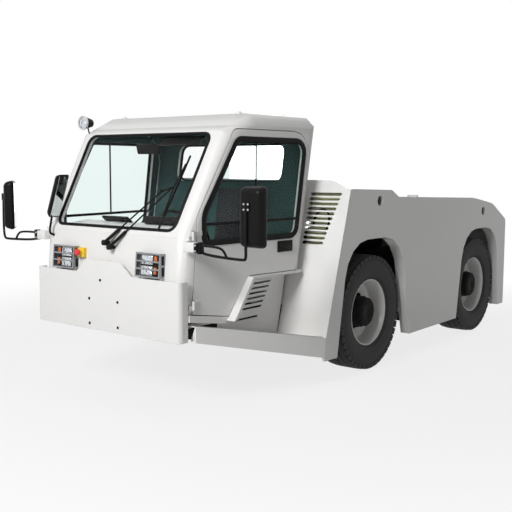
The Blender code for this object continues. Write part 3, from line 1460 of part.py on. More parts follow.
def make_knuckle(station, arm_side):
    """A steering knuckle of the left side: kingpin barrel, drum, spindle and steering arm."""
    hub = HUB_HEIGHT
    half = KNUCKLE_HEIGHT / 2
    pin = half + PIN_GAP + YOKE_THICK - EMBED
    barrel_radius = YOKE_WIDTH / 2
    barrel_ends = [(KINGPIN_ACROSS, station, height) for height in (hub - half, hub + half)]
    pin_ends = [(KINGPIN_ACROSS, station, height) for height in (hub - pin, hub + pin)]
    barrel = cylinder(*barrel_ends, barrel_radius)
    kingpin = cylinder(*pin_ends, KINGPIN_RADIUS)
    face = RIM_DISC_ACROSS - RIM_WALL - PIN_GAP
    drum = [
        (KINGPIN_ACROSS - KNUCKLE_DRUM_REACH, 0.0),
        (KINGPIN_ACROSS - KNUCKLE_DRUM_REACH, KNUCKLE_DRUM_RADIUS * KNUCKLE_DRUM_BACK_SHARE),
        (KINGPIN_ACROSS - KNUCKLE_DRUM_REACH / 2, KNUCKLE_DRUM_RADIUS),
        (face, KNUCKLE_DRUM_RADIUS),
        (face, SPINDLE_RADIUS),
        (face + SPINDLE_LENGTH, SPINDLE_RADIUS),
        (face + SPINDLE_LENGTH, 0.0),
    ]
    body = turned(drum, (0, station, hub), WHEEL_STEPS)
    arm_low = hub - KNUCKLE_DRUM_RADIUS
    outline = [
        (KINGPIN_ACROSS + STEER_ARM_THICK, station),
        (KINGPIN_ACROSS - STEER_ARM_THICK, station),
        (KINGPIN_ACROSS - 4 * STEER_ARM_THICK, station + arm_side * STEER_ARM_LENGTH),
        (KINGPIN_ACROSS - 2 * STEER_ARM_THICK, station + arm_side * STEER_ARM_LENGTH),
    ]
    arm = slab(outline, arm_low, arm_low + STEER_ARM_THICK, "plan")
    return unite(barrel, kingpin, body, arm)


def wheel_profile():
    """(across from the wheel's middle, radius), from the axis over the hub, disc and rim."""
    edge = RIM_WIDTH / 2
    disc = edge - RIM_DISC_DEPTH
    proud = HUB_PROUD
    flange_in = RIM_FLANGE_RADIUS - 2 * RIM_WALL
    well = RIM_SEAT_RADIUS - 2 * RIM_WALL
    bore = SPINDLE_RADIUS + PIN_GAP
    return [
        (proud, 0.0),
        (proud, HUB_DRUM_RADIUS * HUB_FACE_SHARE),
        (proud - RIM_WALL, HUB_DRUM_RADIUS * HUB_EDGE_SHARE),
        (proud - 3 * RIM_WALL, HUB_DRUM_RADIUS),
        (disc + 2 * RIM_WALL, HUB_DRUM_RADIUS),
        (disc + 2 * RIM_WALL, HUB_FLANGE_RADIUS),
        (disc, HUB_FLANGE_RADIUS),
        (disc + RIM_WALL, well - 3 * RIM_WALL),
        (disc + 3 * RIM_WALL, well),
        (edge - 2 * RIM_WALL, flange_in),
        (edge, RIM_FLANGE_RADIUS - RIM_WALL),
        (edge, RIM_FLANGE_RADIUS),
        (edge - RIM_WALL, RIM_FLANGE_RADIUS),
        (edge - RIM_WALL, RIM_SEAT_RADIUS),
        (-edge + RIM_WALL, RIM_SEAT_RADIUS),
        (-edge + RIM_WALL, RIM_FLANGE_RADIUS),
        (-edge, RIM_FLANGE_RADIUS),
        (-edge, RIM_FLANGE_RADIUS - RIM_WALL),
        (disc - RIM_WALL, well - RIM_WALL),
        (disc - RIM_WALL, bore),
        (disc - RIM_WALL + SPINDLE_LENGTH + PIN_GAP, bore),
        (disc - RIM_WALL + SPINDLE_LENGTH + PIN_GAP, 0.0),
    ]


def tyre_profile():
    """Closed section of the tyre: bead, bulged side walls, shoulders and tread."""
    bead = TYRE_BEAD_WIDTH / 2
    wide = TYRE_WIDTH / 2
    tread = TYRE_TREAD_WIDTH / 2
    height = TYRE_RADIUS - RIM_SEAT_RADIUS
    half = [
        (bead, RIM_SEAT_RADIUS + SEAT),
        (bead, RIM_FLANGE_RADIUS + 2 * SEAT),
    ]
    for width_share, height_share in TYRE_SHOULDER_SHARES:
        half.append((wide * width_share, RIM_SEAT_RADIUS + height * height_share))
    half.append((tread, TYRE_RADIUS))
    return half + [(-along, radius) for along, radius in reversed(half)]


def make_running_gear():
    """Axles, knuckles, wheels and tyres. The front axle steers one way, the rear the other."""
    flip = Matrix.Diagonal((-1, 1, 1, 1))
    for end, station, arm_side in (("front", FRONT_AXLE_STATION, 1), ("rear", REAR_AXLE_STATION, -1)):
        make_axle(f"{end}_axle", station, arm_side)
        knuckle = make_knuckle(station, arm_side)
        kingpin = (KINGPIN_ACROSS, y_at(station), HUB_HEIGHT)
        keep_pair(knuckle, f"{end}_knuckle", "black_paint", kingpin)
        centre = (WHEEL_ACROSS, station, HUB_HEIGHT)
        middle = (WHEEL_ACROSS, y_at(station), HUB_HEIGHT)
        keep_pair(turned(wheel_profile(), centre, WHEEL_STEPS), f"{end}_wheel", "white_paint", middle)
        tyre = turned(tyre_profile(), centre, WHEEL_STEPS, closed=True)
        keep_pair(tyre, f"{end}_tyre", "tyre_rubber", middle)


def make_work_lamp():
    """A round work lamp on a bracket at the head of the right pillar."""
    across = -cab_half(CAB_PROFILE[7].along) + CAB_CORNER_RADIUS
    height = CAB_PROFILE[7].up + WORK_LAMP_RADIUS
    station = CAB_PROFILE[7].along - WORK_LAMP_DEPTH
    drum = cylinder(
        (across, station - WORK_LAMP_DEPTH / 2, height),
        (across, station + WORK_LAMP_DEPTH / 2, height),
        WORK_LAMP_RADIUS,
        ROUND_STEPS,
        WORK_LAMP_RADIUS * WORK_LAMP_BACK_SHARE,
    )
    post = cylinder(
        (across, station, height - WORK_LAMP_RADIUS / 2),
        (across, station + WORK_LAMP_DEPTH / 2, height - 3 * WORK_LAMP_RADIUS),
        EMBED,
        SMALL_BAR_STEPS,
    )
    lamp = cut(unite(drum, post), cab_solid(0.0))
    keep(lamp, "work_lamp", "black_plastic")


def main():
    for obj in list(bpy.data.objects):
        bpy.data.objects.remove(obj)
    tractor = bpy.data.collections.new("pushback_tractor")
    bpy.context.scene.collection.children.link(tractor)
    make_materials()
    make_frame()
    make_sides()
    make_bulkhead()
    make_deck()
    make_hitch()
    make_front_plate()
    make_steps()
    make_cab_base()
    make_cab()
    make_lamps()
    make_inside()
    keep_pair(make_mirror(), "mirror", "black_plastic")
    make_work_lamp()
    make_running_gear()


main()
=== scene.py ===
"""Dresses an aircraft pushback tractor: finishes, seals, tyres, lamps, wiper, seat and trim."""

import math
from typing import NamedTuple

import bmesh
import bpy
from bpy.props import FloatProperty, FloatVectorProperty, PointerProperty
from mathutils import Matrix, Vector


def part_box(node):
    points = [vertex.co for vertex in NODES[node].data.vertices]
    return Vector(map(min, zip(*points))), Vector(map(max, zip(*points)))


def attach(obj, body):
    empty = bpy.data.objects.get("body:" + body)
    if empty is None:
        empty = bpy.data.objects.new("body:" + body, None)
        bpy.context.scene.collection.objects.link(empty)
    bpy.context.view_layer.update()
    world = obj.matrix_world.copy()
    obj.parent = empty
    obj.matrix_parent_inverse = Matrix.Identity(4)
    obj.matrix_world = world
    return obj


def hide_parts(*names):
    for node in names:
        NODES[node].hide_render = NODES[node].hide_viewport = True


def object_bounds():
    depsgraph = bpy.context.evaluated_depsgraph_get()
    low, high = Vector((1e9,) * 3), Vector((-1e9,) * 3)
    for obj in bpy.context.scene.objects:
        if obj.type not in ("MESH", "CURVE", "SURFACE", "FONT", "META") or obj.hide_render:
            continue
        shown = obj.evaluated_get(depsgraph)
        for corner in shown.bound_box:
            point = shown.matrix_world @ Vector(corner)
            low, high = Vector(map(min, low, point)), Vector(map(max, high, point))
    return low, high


bl_info = {
    "name": "Pushback Tractor Dressing",
    "version": (1, 0, 0),
    "blender": (4, 5, 0),
    "location": "View3D > Sidebar > Tractor",
    "description": "Finishes and fittings for an aircraft pushback tractor",
    "category": "Object",
}

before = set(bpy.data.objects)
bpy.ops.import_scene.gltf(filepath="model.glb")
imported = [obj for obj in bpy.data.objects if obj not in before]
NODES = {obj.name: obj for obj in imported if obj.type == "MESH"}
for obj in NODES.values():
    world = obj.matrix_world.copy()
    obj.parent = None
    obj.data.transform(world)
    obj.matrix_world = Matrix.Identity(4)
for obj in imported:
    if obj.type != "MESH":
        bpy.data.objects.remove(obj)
CAD_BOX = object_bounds()
SIDES = (("left", 1), ("right", -1))
WHEELS = tuple((end, side, sign) for end in ("front", "rear") for side, sign in SIDES)
BODY = "tractor_body"
LID = "engine_lid"

X_AXIS = Vector((1, 0, 0))
UP = Vector((0, 0, 1))
FRONT = Vector((0, -1, 0))
REAR = Vector((0, 1, 0))
NOSE = CAD_BOX[0][1]
# each plane of the cab and bulkhead: a point by station and height, and its slope from there
PANEL = ((0.030, 0.745), 0.0991)
SCREEN = ((0.085, 1.300), 0.5526)
BACK_WALL = ((1.375, 0.950), 0.1757)
BULKHEAD = ((1.323, 0.422), 0.2941)
ROOF_SLOPES = (((0.505, 2.060), 0.475), ((0.585, 2.098), 0.4435), ((1.480, 2.200), -0.5238))
ROOF_TOP = 2.200
CAB_FLARE = 0.085
CAB_FRONT_HALF = 0.7593
# from the wheel's outer face in to its disc
DISC_INSET = 0.175
WELD = 0.00005
FLIP = Matrix.Diagonal((-1, 1, 1, 1))
# degrees between two faces above which their edge stays sharp
SHARP_BARE = 32
SHARP_ROUNDED = 50
SHARP_PIECE = 35


def colour(name, text, default):
    return FloatVectorProperty(
        name=name, description=text, default=default, subtype="COLOR", min=0, max=1, size=3
    )


def length(name, text, default):
    return FloatProperty(name=name, description=text, default=default, unit="LENGTH", min=0, precision=4)


class TractorColours(bpy.types.PropertyGroup):
    body: colour("Body white", "Paint of the cab, decks and bulkhead", (0.78, 0.775, 0.76))
    chassis: colour("Chassis black", "Paint of the frame and axles", (0.012, 0.012, 0.013))
    rubber: colour("Tyre rubber", "Tread and side walls", (0.008, 0.008, 0.0085))
    seal: colour("Seal black", "Glazing rubber and black plastics", (0.006, 0.006, 0.0065))
    trim: colour("Cab lining", "Inner walls, roof and doors", (0.048, 0.095, 0.094))
    # dash: pale paint, made lighter than its own colour as painted light, standing in for the light that the
    # windscreen keeps off the dash
    dash: colour("Dash grey", "Pale top of the dashboard", (0.84, 0.85, 0.84))
    cloth: colour("Seat cloth", "Driver's seat cover", (0.006, 0.006, 0.0065))
    guard: colour("Guard steel", "Bars in front of the lamps", (0.26, 0.28, 0.28))
    amber: colour("Amber", "Turn signal lenses", (0.52, 0.11, 0.008))
    stop: colour("Stop red", "Button of the emergency stop", (0.75, 0.01, 0.012))
    stop_cover: colour("Stop yellow", "Cover of the emergency stop", (0.85, 0.56, 0.02))
    # cooler: olive paint, made lighter than its own colour as painted light to offset the shade behind the
    # bulkhead's slots
    cooler: colour("Cooler green", "Core seen through the bulkhead's slots", (0.66, 0.68, 0.47))
    silver: colour("Lamp silver", "Rims of the lamps", (0.62, 0.63, 0.64))
    dust: colour("Dust", "Fine dust that settles low on the body", (0.42, 0.38, 0.32))


class TractorSizes(bpy.types.PropertyGroup):
    screen_seal: length("Windscreen seal", "Width of the rubber round the windscreen", 0.026)
    rear_seal: length("Rear seal", "Width of the rubber round the rear window", 0.032)
    door_seal: length("Door seal", "Width of the black frame of each door window", 0.048)
    seal_proud: length("Seal height", "How far the seal stands over the skin", 0.011)
    edge: length("Edge radius", "Rounding of the painted edges", 0.003)
    lid_edge: length("Lid edge radius", "Rounding of the engine lid and the deck it hinges on", 0.0015)
    nut: length("Nut width", "Across the flats of a wheel nut", 0.030)
    screw: length("Screw radius", "Heads of the front plate's screws", 0.011)
    tread_depth: length("Tread depth", "Depth of the tyre's grooves", 0.011)
    camera_height: length("Camera height", "Height of the eye point", 1.8)


def look():
    return bpy.context.scene.tractor_colours


def sizes():
    return bpy.context.scene.tractor_sizes


# Materials

def feed(tree, made, inputs):
    """Sets a node's inputs from values, or links them to the outputs of other nodes."""
    for key, value in inputs.items():
        if isinstance(value, bpy.types.NodeSocket):
            tree.links.new(value, made.inputs[key])
        else:
            made.inputs[key].default_value = value
    return made


def node(tree, kind, inputs=None, **settings):
    """A new node with its settings and inputs."""
    made = tree.nodes.new(kind)
    for name, value in settings.items():
        setattr(made, name, value)
    return feed(tree, made, inputs or {})


def maths(tree, operation, first, second):
    return node(tree, "ShaderNodeMath", {0: first, 1: second}, operation=operation).outputs["Value"]


def remap(tree, value, **limits):
    """A value moved to another range: from_min, from_max, to_min and to_max."""
    inputs = {name.replace("_", " ").title(): limit for name, limit in limits.items()}
    return node(tree, "ShaderNodeMapRange", {"Value": value, **inputs}).outputs["Result"]


def own_place(tree):
    return node(tree, "ShaderNodeTexCoord").outputs["Object"]


def noise(tree, place, scale, detail=2):
    inputs = {"Vector": place, "Scale": scale, "Detail": detail}
    return node(tree, "ShaderNodeTexNoise", inputs).outputs["Fac"]


def relief(tree, height, strength, distance):
    inputs = {"Height": height, "Strength": strength, "Distance": distance}
    return node(tree, "ShaderNodeBump", inputs).outputs["Normal"]


def shader(name, base, roughness, metallic=0.0):
    """A new material, its Principled BSDF with plain values and its node tree."""
    material = bpy.data.materials.new(name)
    material.use_nodes = True
    tree = material.node_tree
    inputs = {"Base Color": (*base, 1), "Roughness": roughness, "Metallic": metallic}
    return material, feed(tree, tree.nodes["Principled BSDF"], inputs), tree


def wear_group():
    """Shared surface wear: broad tone changes, fine grain and dust that gathers low down."""
    name = "surface_wear"
    if name in bpy.data.node_groups:
        return bpy.data.node_groups[name]
    group = bpy.data.node_groups.new(name, "ShaderNodeTree")
    given = {
        "Colour": (0.5, 0.5, 0.5, 1),
        "Dust Colour": (0.4, 0.4, 0.4, 1),
        "Dust": 0.3,
        "Dust Height": 0.9,
        "Tone": 0.06,
        "Grain Scale": 300.0,
        "Roughness": 0.4,
    }
    for label, value in given.items():
        kind = "NodeSocketFloat" if isinstance(value, float) else "NodeSocketColor"
        socket = group.interface.new_socket(name=label, in_out="INPUT", socket_type=kind)
        socket.default_value = value
    for label, kind in (("Colour", "Color"), ("Roughness", "Float"), ("Grain", "Float")):
        group.interface.new_socket(name=label, in_out="OUTPUT", socket_type=f"NodeSocket{kind}")
    source = node(group, "NodeGroupInput").outputs
    place = own_place(group)
    height = node(group, "ShaderNodeSeparateXYZ", {"Vector": place}).outputs["Z"]
    low = remap(group, height, from_min=0.1, from_max=source["Dust Height"], to_min=1.0, to_max=0.0)
    patch = remap(group, noise(group, place, 9.0, 8), from_min=0.35, from_max=0.75)
    spread = maths(group, "ADD", maths(group, "MULTIPLY", patch, 0.7), 0.3)
    mask = maths(group, "MULTIPLY", maths(group, "MULTIPLY", low, spread), source["Dust"])
    centred = maths(group, "SUBTRACT", noise(group, place, 2.3, 6), 0.5)
    swing = maths(group, "MULTIPLY", centred, source["Tone"])
    shade = {"Value": maths(group, "ADD", swing, 1.0), "Color": source["Colour"]}
    tone = node(group, "ShaderNodeHueSaturation", shade).outputs["Color"]
    mix = {"Factor": mask, "A": tone, "B": source["Dust Colour"]}
    dusty = node(group, "ShaderNodeMix", {}, data_type="RGBA")
    rough = maths(group, "ADD", source["Roughness"], maths(group, "MULTIPLY", mask, 0.4))
    result = {
        "Colour": feed(group, dusty, mix).outputs["Result"],
        "Roughness": maths(group, "ADD", rough, maths(group, "MULTIPLY", swing, 0.8)),
        "Grain": noise(group, place, source["Grain Scale"], 3),
    }
    node(group, "NodeGroupOutput", result)
    return group


class Finish(NamedTuple):
    """A painted or moulded finish: the name of the record's slot, then how it looks."""

    slot: str
    colour: str
    roughness: float
    dust: float
    dust_height: float
    tone: float
    grain_scale: float
    bump: float
    coat: float = 0.0
    metallic: float = 0.0


FINISHES = {
    "body_paint": Finish("white_paint", "body", 0.36, 0.10, 0.9, 0.05, 260.0, 0.010, 0.35),
    "chassis_paint": Finish("black_paint", "chassis", 0.62, 0.08, 0.9, 0.30, 180.0, 0.060),
    "tyre_rubber": Finish("tyre_rubber", "rubber", 0.82, 0.035, 1.2, 0.30, 240.0, 0.090),
    "seal_rubber": Finish("black_plastic", "seal", 0.48, 0.05, 1.5, 0.20, 300.0, 0.040),
    "moulded_black": Finish("black_plastic", "seal", 0.42, 0.06, 2.0, 0.20, 700.0, 0.060),
    "mirror_black": Finish("black_plastic", "seal", 0.30, 0.02, 2.0, 0.20, 500.0, 0.015),
    # the dash finish is lighter than the dash's paint: painted light for the light that the glass keeps off
    # it
    "dash_pale_lightened": Finish("cab_trim", "dash", 0.55, 0.06, 1.4, 0.10, 500.0, 0.030),
    "cab_lining": Finish("cab_trim", "trim", 0.66, 0.10, 1.4, 0.20, 500.0, 0.060),
    "guard_steel": Finish("guard_steel", "guard", 0.34, 0.10, 1.4, 0.20, 420.0, 0.030, metallic=0.85),
    "amber_lens": Finish("lamp_glass", "amber", 0.18, 0.02, 1.2, 0.08, 90.0, 0.030, 0.6),
    "stop_button": Finish("red_lens", "stop", 0.28, 0.02, 1.2, 0.08, 300.0, 0.010, 0.5),
    # the core's olive is lightened here: painted light that offsets the shade it sits in
    "cooler_green_lightened": Finish("cast_metal", "cooler", 0.70, 0.10, 1.5, 0.30, 260.0, 0.050),
    "work_silver": Finish("guard_steel", "silver", 0.30, 0.02, 1.5, 0.10, 300.0, 0.015, metallic=0.75),
    "stop_cover": Finish("stop_yellow", "stop_cover", 0.36, 0.03, 1.2, 0.10, 300.0, 0.015, 0.3),
}
# strength of the highlights on dark colours, low so that black reads as black
DARK_SHINE = {"chassis": 0.05, "rubber": 0.03, "seal": 0.09, "trim": 0.08}
COAT_ROUGHNESS = 0.15
GRAIN_HEIGHT = 0.002


def painted(name):
    """A material for one row of the finish table."""
    row = FINISHES[name]
    base = getattr(look(), row.colour)
    material, bsdf, tree = shader(name, base, row.roughness, row.metallic)
    inputs = {
        "Colour": (*base, 1),
        "Dust Colour": (*look().dust, 1),
        "Dust": row.dust,
        "Dust Height": row.dust_height,
        "Tone": row.tone,
        "Grain Scale": row.grain_scale,
        "Roughness": row.roughness,
    }
    wear = node(tree, "ShaderNodeGroup", node_tree=wear_group())
    worn = feed(tree, wear, inputs).outputs
    inputs = {
        "Base Color": worn["Colour"],
        "Roughness": worn["Roughness"],
        "Normal": relief(tree, worn["Grain"], row.bump, GRAIN_HEIGHT),
        "Coat Weight": row.coat,
        "Coat Roughness": COAT_ROUGHNESS,
    }
    if row.colour in DARK_SHINE:
        inputs["Specular IOR Level"] = DARK_SHINE[row.colour]
    feed(tree, bsdf, inputs)
    return material


# name: tint of the pane
PANES = {
    "door_pane": (0.84, 0.93, 0.91),
    "front_pane": (0.98, 0.995, 0.99),
    "back_pane": (0.96, 0.985, 0.98),
}


def pane(name):
    """Clear glass that keeps a tint, with faint handling marks."""
    material, bsdf, tree = shader(name, PANES[name], 0.0)
    marks = remap(tree, noise(tree, own_place(tree), 4.0, 4), to_min=0.0, to_max=0.02)
    feed(tree, bsdf, {"Transmission Weight": 1.0, "IOR": 1.1, "Roughness": marks})
    return material


def woven(name):
    """Seat cloth with a fine two-way weave."""
    base = look().cloth
    material, bsdf, tree = shader(name, base, 0.9)
    place = own_place(tree)
    inputs = {"Vector": place, "Scale": 260.0, "Distortion": 0.6}
    across, upright = [
        node(tree, "ShaderNodeTexWave", inputs, bands_direction=way).outputs["Fac"] for way in ("X", "Z")
    ]
    weave = maths(tree, "ADD", across, upright)
    shade = node(tree, "ShaderNodeMix", {}, data_type="RGBA")
    mix = {
        "Factor": maths(tree, "MULTIPLY", weave, 0.5),
        "A": (*[part * 0.97 for part in base], 1),
        "B": (*[part * 1.03 for part in base], 1),
    }
    inputs = {
        "Base Color": feed(tree, shade, mix).outputs["Result"],
        "Normal": relief(tree, weave, 0.04, 0.001),
        "Specular IOR Level": 0.08,
    }
    feed(tree, bsdf, inputs)
    return material


def lamp_lens(name):
    """Bright reflector seen through a clear, faceted lens."""
    material, bsdf, tree = shader(name, (0.62, 0.66, 0.70), 0.16, 0.95)
    cells = node(tree, "ShaderNodeTexVoronoi", {"Vector": own_place(tree), "Scale": 34.0})
    facets = relief(tree, cells.outputs["Distance"], 1.0, 0.012)
    feed(tree, bsdf, {"Normal": facets, "Coat Weight": 0.8})
    return material


def mirror_glass(name):
    """Silvered glass under a little dust."""
    material, bsdf, tree = shader(name, (0.86, 0.88, 0.89), 0.02, 1.0)
    dust = remap(tree, noise(tree, own_place(tree), 60.0), to_min=0.01, to_max=0.07)
    feed(tree, bsdf, {"Roughness": dust})
    return material


# name: the function that makes the material, and the name of the record's slot
SPECIAL = {
    "lamp_lens": (lamp_lens, "lamp_glass"),
    "mirror_glass": (mirror_glass, "lamp_glass"),
    "seat_cloth": (woven, "seat_cloth"),
}


def finish(name):
    """A material by its name, made once."""
    material = bpy.data.materials.get(name)
    if material:
        return material
    if name in FINISHES:
        return painted(name)
    if name in PANES:
        return pane(name)
    return SPECIAL[name][0](name)


# Places

def at(across, station, height):
    """World place of a point given by its distance rearward from the nose."""
    return Vector((across, NOSE + station, height))


def along_plane(plane, height):
    (station, level), slope = plane
    return station + slope * (height - level)


def on_plane(plane, across, height, proud=0.0):
    """A point at a distance out from one of the planes that face forward."""
    lean = math.atan(plane[1])
    station = along_plane(plane, height)
    return at(across, station - proud * math.cos(lean), height + proud * math.sin(lean))


def cab_half(station):
    return CAB_FRONT_HALF + CAB_FLARE * station


def placed(along, across, out, origin):
    """The placement with these three axes and origin."""
    place = Matrix((along, across, out)).transposed().to_4x4()
    place.translation = origin
    return place


def tilted(origin, degrees, axis="X"):
    return Matrix.Translation(origin) @ Matrix.Rotation(math.radians(degrees), 4, axis)


def face_of(name, outward):
    """Placement on a CAD node's main face: X along it, Y up it and Z out of it."""
    normal, centre, area = Vector(), Vector(), 0.0
    faces = [face for face in NODES[name].data.polygons if face.normal.dot(outward) > 0.7]
    largest = max(faces, key=lambda face: face.area).normal.copy()
    for face in faces:
        if face.normal.dot(largest) > 0.995:
            normal += face.normal * face.area
            centre += face.center * face.area
            area += face.area
    normal.normalize()
    up = (UP - normal * UP.dot(normal)).normalized()
    return placed(up.cross(normal), up, normal, centre / area)


def outline_of(name, place):
    """Convex outline of a CAD node in the plane of a placement."""
    inverse = place.inverted()
    flat = [(inverse @ vert.co)[:2] for vert in NODES[name].data.vertices]
    spots = sorted({tuple(round(part, 4) for part in spot) for spot in flat})

    def chain(run):
        kept = []
        for spot in run:
            while len(kept) > 1:
                (ax, ay), (bx, by) = kept[-2:]
                if (bx - ax) * (spot[1] - ay) - (by - ay) * (spot[0] - ax) > 0:
                    break
                kept.pop()
            kept.append(spot)
        return kept[:-1]

    return chain(spots) + chain(spots[::-1])


# Shapes

def block(data, centre, size, place=None):
    """A block added to a bmesh, in the local axes of a placement."""
    matrix = Matrix.Translation(centre) @ Matrix.Diagonal((*size, 1))
    if place is not None:
        matrix = place @ matrix
    return bmesh.ops.create_cube(data, size=1, matrix=matrix)["verts"]


def rod(data, start, end, radius, steps=16, tip=None):
    """A round bar or cone between two points."""
    start, end = Vector(start), Vector(end)
    turn = (end - start).to_track_quat("Z", "Y").to_matrix().to_4x4()
    ends = {"radius1": radius, "radius2": radius if tip is None else tip, "depth": (end - start).length}
    middle = Matrix.Translation((start + end) / 2)
    bmesh.ops.create_cone(data, cap_ends=True, segments=steps, matrix=middle @ turn, **ends)


def soften(data, width, segments=2):
    """Rounds the sharp edges of everything in a bmesh."""
    sharp = math.radians(30)
    edges = [edge for edge in data.edges if len(edge.link_faces) == 2 and edge.calc_face_angle() > sharp]
    shape = {"offset": width, "segments": segments, "profile": 0.5, "affect": "EDGES"}
    bmesh.ops.bevel(data, geom=edges, material=-1, clamp_overlap=True, **shape)


def soft_blocks(rows, edge, place=None, segments=2):
    """Blocks with rounded edges, each given by its centre and size."""
    data = bmesh.new()
    for centre, size in rows:
        block(data, centre, size, place)
    soften(data, edge, segments)
    return data


def tidied(data):
    """Joins doubled points and turns all faces outward."""
    bmesh.ops.remove_doubles(data, verts=data.verts, dist=0.00001)
    bmesh.ops.recalc_face_normals(data, faces=data.faces)
    return data


def spun(profile, steps):
    """A closed or open profile of (across, radius) turned about the X axis."""
    data = bmesh.new()
    verts = [data.verts.new((across, 0, radius)) for across, radius in profile]
    edges = [data.edges.new(pair) for pair in zip(verts, verts[1:])]
    turn = {"cent": (0, 0, 0), "axis": (1, 0, 0), "angle": math.tau, "steps": steps}
    bmesh.ops.spin(data, geom=verts + edges, use_merge=True, **turn)
    return tidied(data)


def moved(data, matrix):
    bmesh.ops.transform(data, matrix=matrix, verts=data.verts)
    return data


def piece(name, data, look_name, body=BODY, side=1):
    """Ends a bmesh as a piece of the object, mirrored for the right-hand side."""
    if side < 0:
        moved(data, FLIP)
        bmesh.ops.reverse_faces(data, faces=data.faces)
    mesh = bpy.data.meshes.new(name)
    data.to_mesh(mesh)
    data.free()
    mesh.shade_smooth()
    mesh.set_sharp_from_angle(angle=math.radians(SHARP_PIECE))
    obj = bpy.data.objects.new(name, mesh)
    bpy.context.scene.collection.objects.link(obj)
    mesh.materials.append(finish(look_name))
    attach(obj, body)
    return obj


def tube(points, radius, cyclic=False):
    """A bmesh of a round tube through points."""
    curve = bpy.data.curves.new("tube", "CURVE")
    curve.dimensions = "3D"
    curve.bevel_depth = radius
    curve.bevel_resolution = 3
    curve.use_fill_caps = not cyclic
    spline = curve.splines.new("POLY")
    spline.points.add(len(points) - 1)
    for point, place in zip(spline.points, points):
        point.co = (*place, 1)
    spline.use_cyclic_u = cyclic
    holder = bpy.data.objects.new("tube", curve)
    bpy.context.scene.collection.objects.link(holder)
    graph = bpy.context.evaluated_depsgraph_get()
    mesh = bpy.data.meshes.new_from_object(holder.evaluated_get(graph))
    data = bmesh.new()
    data.from_mesh(mesh)
    bpy.data.objects.remove(holder)
    bpy.data.meshes.remove(mesh)
    return tidied(data)


def smooth_path(points):
    """Cuts the corners of a path twice, keeping its ends."""
    points = [Vector(point) for point in points]
    for _ in range(2):
        cut = [points[0]]
        for first, second in zip(points, points[1:]):
            cut.append(first.lerp(second, 0.25))
            cut.append(first.lerp(second, 0.75))
        cut.append(points[-1])
        points = cut
    return points


def pipe(route, radius):
    """A tube along a path with rounded corners."""
    return tube(smooth_path(route), radius)


def round_places(count, radius, offset=0.0):
    """Places (y, z) spaced evenly round a circle."""
    for step in range(count):
        angle = math.tau * (step + offset) / count
        yield math.cos(angle) * radius, math.sin(angle) * radius


def smoothing(degrees):
    """Node group that smooths a surface up to the edges sharper than an angle."""
    name = f"smooth_to_{degrees}"
    if name in bpy.data.node_groups:
        return bpy.data.node_groups[name]
    group = bpy.data.node_groups.new(name, "GeometryNodeTree")
    for way in ("INPUT", "OUTPUT"):
        group.interface.new_socket(name="Geometry", in_out=way, socket_type="NodeSocketGeometry")
    shape = node(group, "NodeGroupInput").outputs["Geometry"]
    weld = node(group, "GeometryNodeMergeByDistance", {"Geometry": shape, "Distance": WELD})
    angle = node(group, "GeometryNodeInputMeshEdgeAngle").outputs["Unsigned Angle"]
    limits = {"A": angle, "B": math.radians(degrees)}
    sharp = node(group, "FunctionNodeCompare", limits, operation="GREATER_THAN")
    inputs = {"Geometry": weld.outputs["Geometry"]}
    smooth = node(group, "GeometryNodeSetShadeSmooth", inputs, domain="FACE")
    inputs = {
        "Geometry": smooth.outputs["Geometry"],
        "Selection": sharp.outputs["Result"],
        "Shade Smooth": False,
    }
    split = node(group, "GeometryNodeSetShadeSmooth", inputs, domain="EDGE")
    node(group, "NodeGroupOutput", {"Geometry": split.outputs["Geometry"]})
    return group


def coated(name, look_name):
    """Gives a CAD node its material."""
    obj = NODES[name]
    obj.data.materials.clear()
    obj.data.materials.append(finish(look_name))
    return obj


def dressed(name, look_name, edge=None):
    """Gives a CAD node its finish, and rounded edges that catch the light."""
    obj = coated(name, look_name)
    if edge:
        weld = obj.modifiers.new("weld", "WELD")
        weld.merge_threshold = WELD
        flat = obj.modifiers.new("flat", "DECIMATE")
        flat.decimate_type = "DISSOLVE"
        flat.angle_limit = math.radians(0.4)
        round_edges = obj.modifiers.new("edges", "BEVEL")
        round_edges.width = edge
        round_edges.segments = 2
        round_edges.limit_method = "ANGLE"
        round_edges.angle_limit = math.radians(SHARP_BARE)
    smooth = obj.modifiers.new("smooth", "NODES")
    smooth.node_group = smoothing(SHARP_ROUNDED if edge else SHARP_BARE)
    if edge:
        obj.modifiers.new("normals", "WEIGHTED_NORMAL").keep_sharp = True


# Pieces

class TractorPaint(bpy.types.Operator):
    """Finishes and rounded edges for every solid that stays in view"""

    bl_idname = "tractor.paint"
    bl_label = "Paint and finishes"
    white = (
        "front_bulkhead", "cowl_cover", "rear_plate", "front_plate", "step_left", "step_right",
        "cab_base", "cab_front", "cab_frame", "cab_roof", "door_left", "door_right",
        "body_side_left", "body_side_right",
    )
    hinged = ("engine_hood", "rear_deck")
    black = ("chassis_frame", "front_axle", "rear_axle", "engine_block", "tow_hitch")
    thin_edge = 0.0015
    cover_edge = 0.002

    def execute(self, context):
        edge = sizes().edge
        for name in self.white:
            dressed(name, "body_paint", edge)
        for name in self.hinged:
            dressed(name, "body_paint", sizes().lid_edge)
        for name in self.black:
            dressed(name, "chassis_paint", edge)
        for end, side, _ in WHEELS:
            dressed(f"{end}_knuckle_{side}", "chassis_paint", edge)
        for side, _ in SIDES:
            dressed(f"lamp_guard_{side}", "guard_steel", self.thin_edge)
            dressed(f"headlamp_{side}", "moulded_black", self.thin_edge)
            dressed(f"rear_lamp_{side}", "stop_button", edge)
            coated(f"door_glass_{side}", "door_pane")
        coated("windscreen", "front_pane")
        coated("rear_window", "back_pane")
        dressed("dashboard", "dash_pale_lightened", edge)
        dressed("steering_wheel", "moulded_black")
        dressed("emergency_stop", "stop_cover", self.cover_edge)
        dressed("work_lamp", "moulded_black", self.thin_edge)
        return {"FINISHED"}


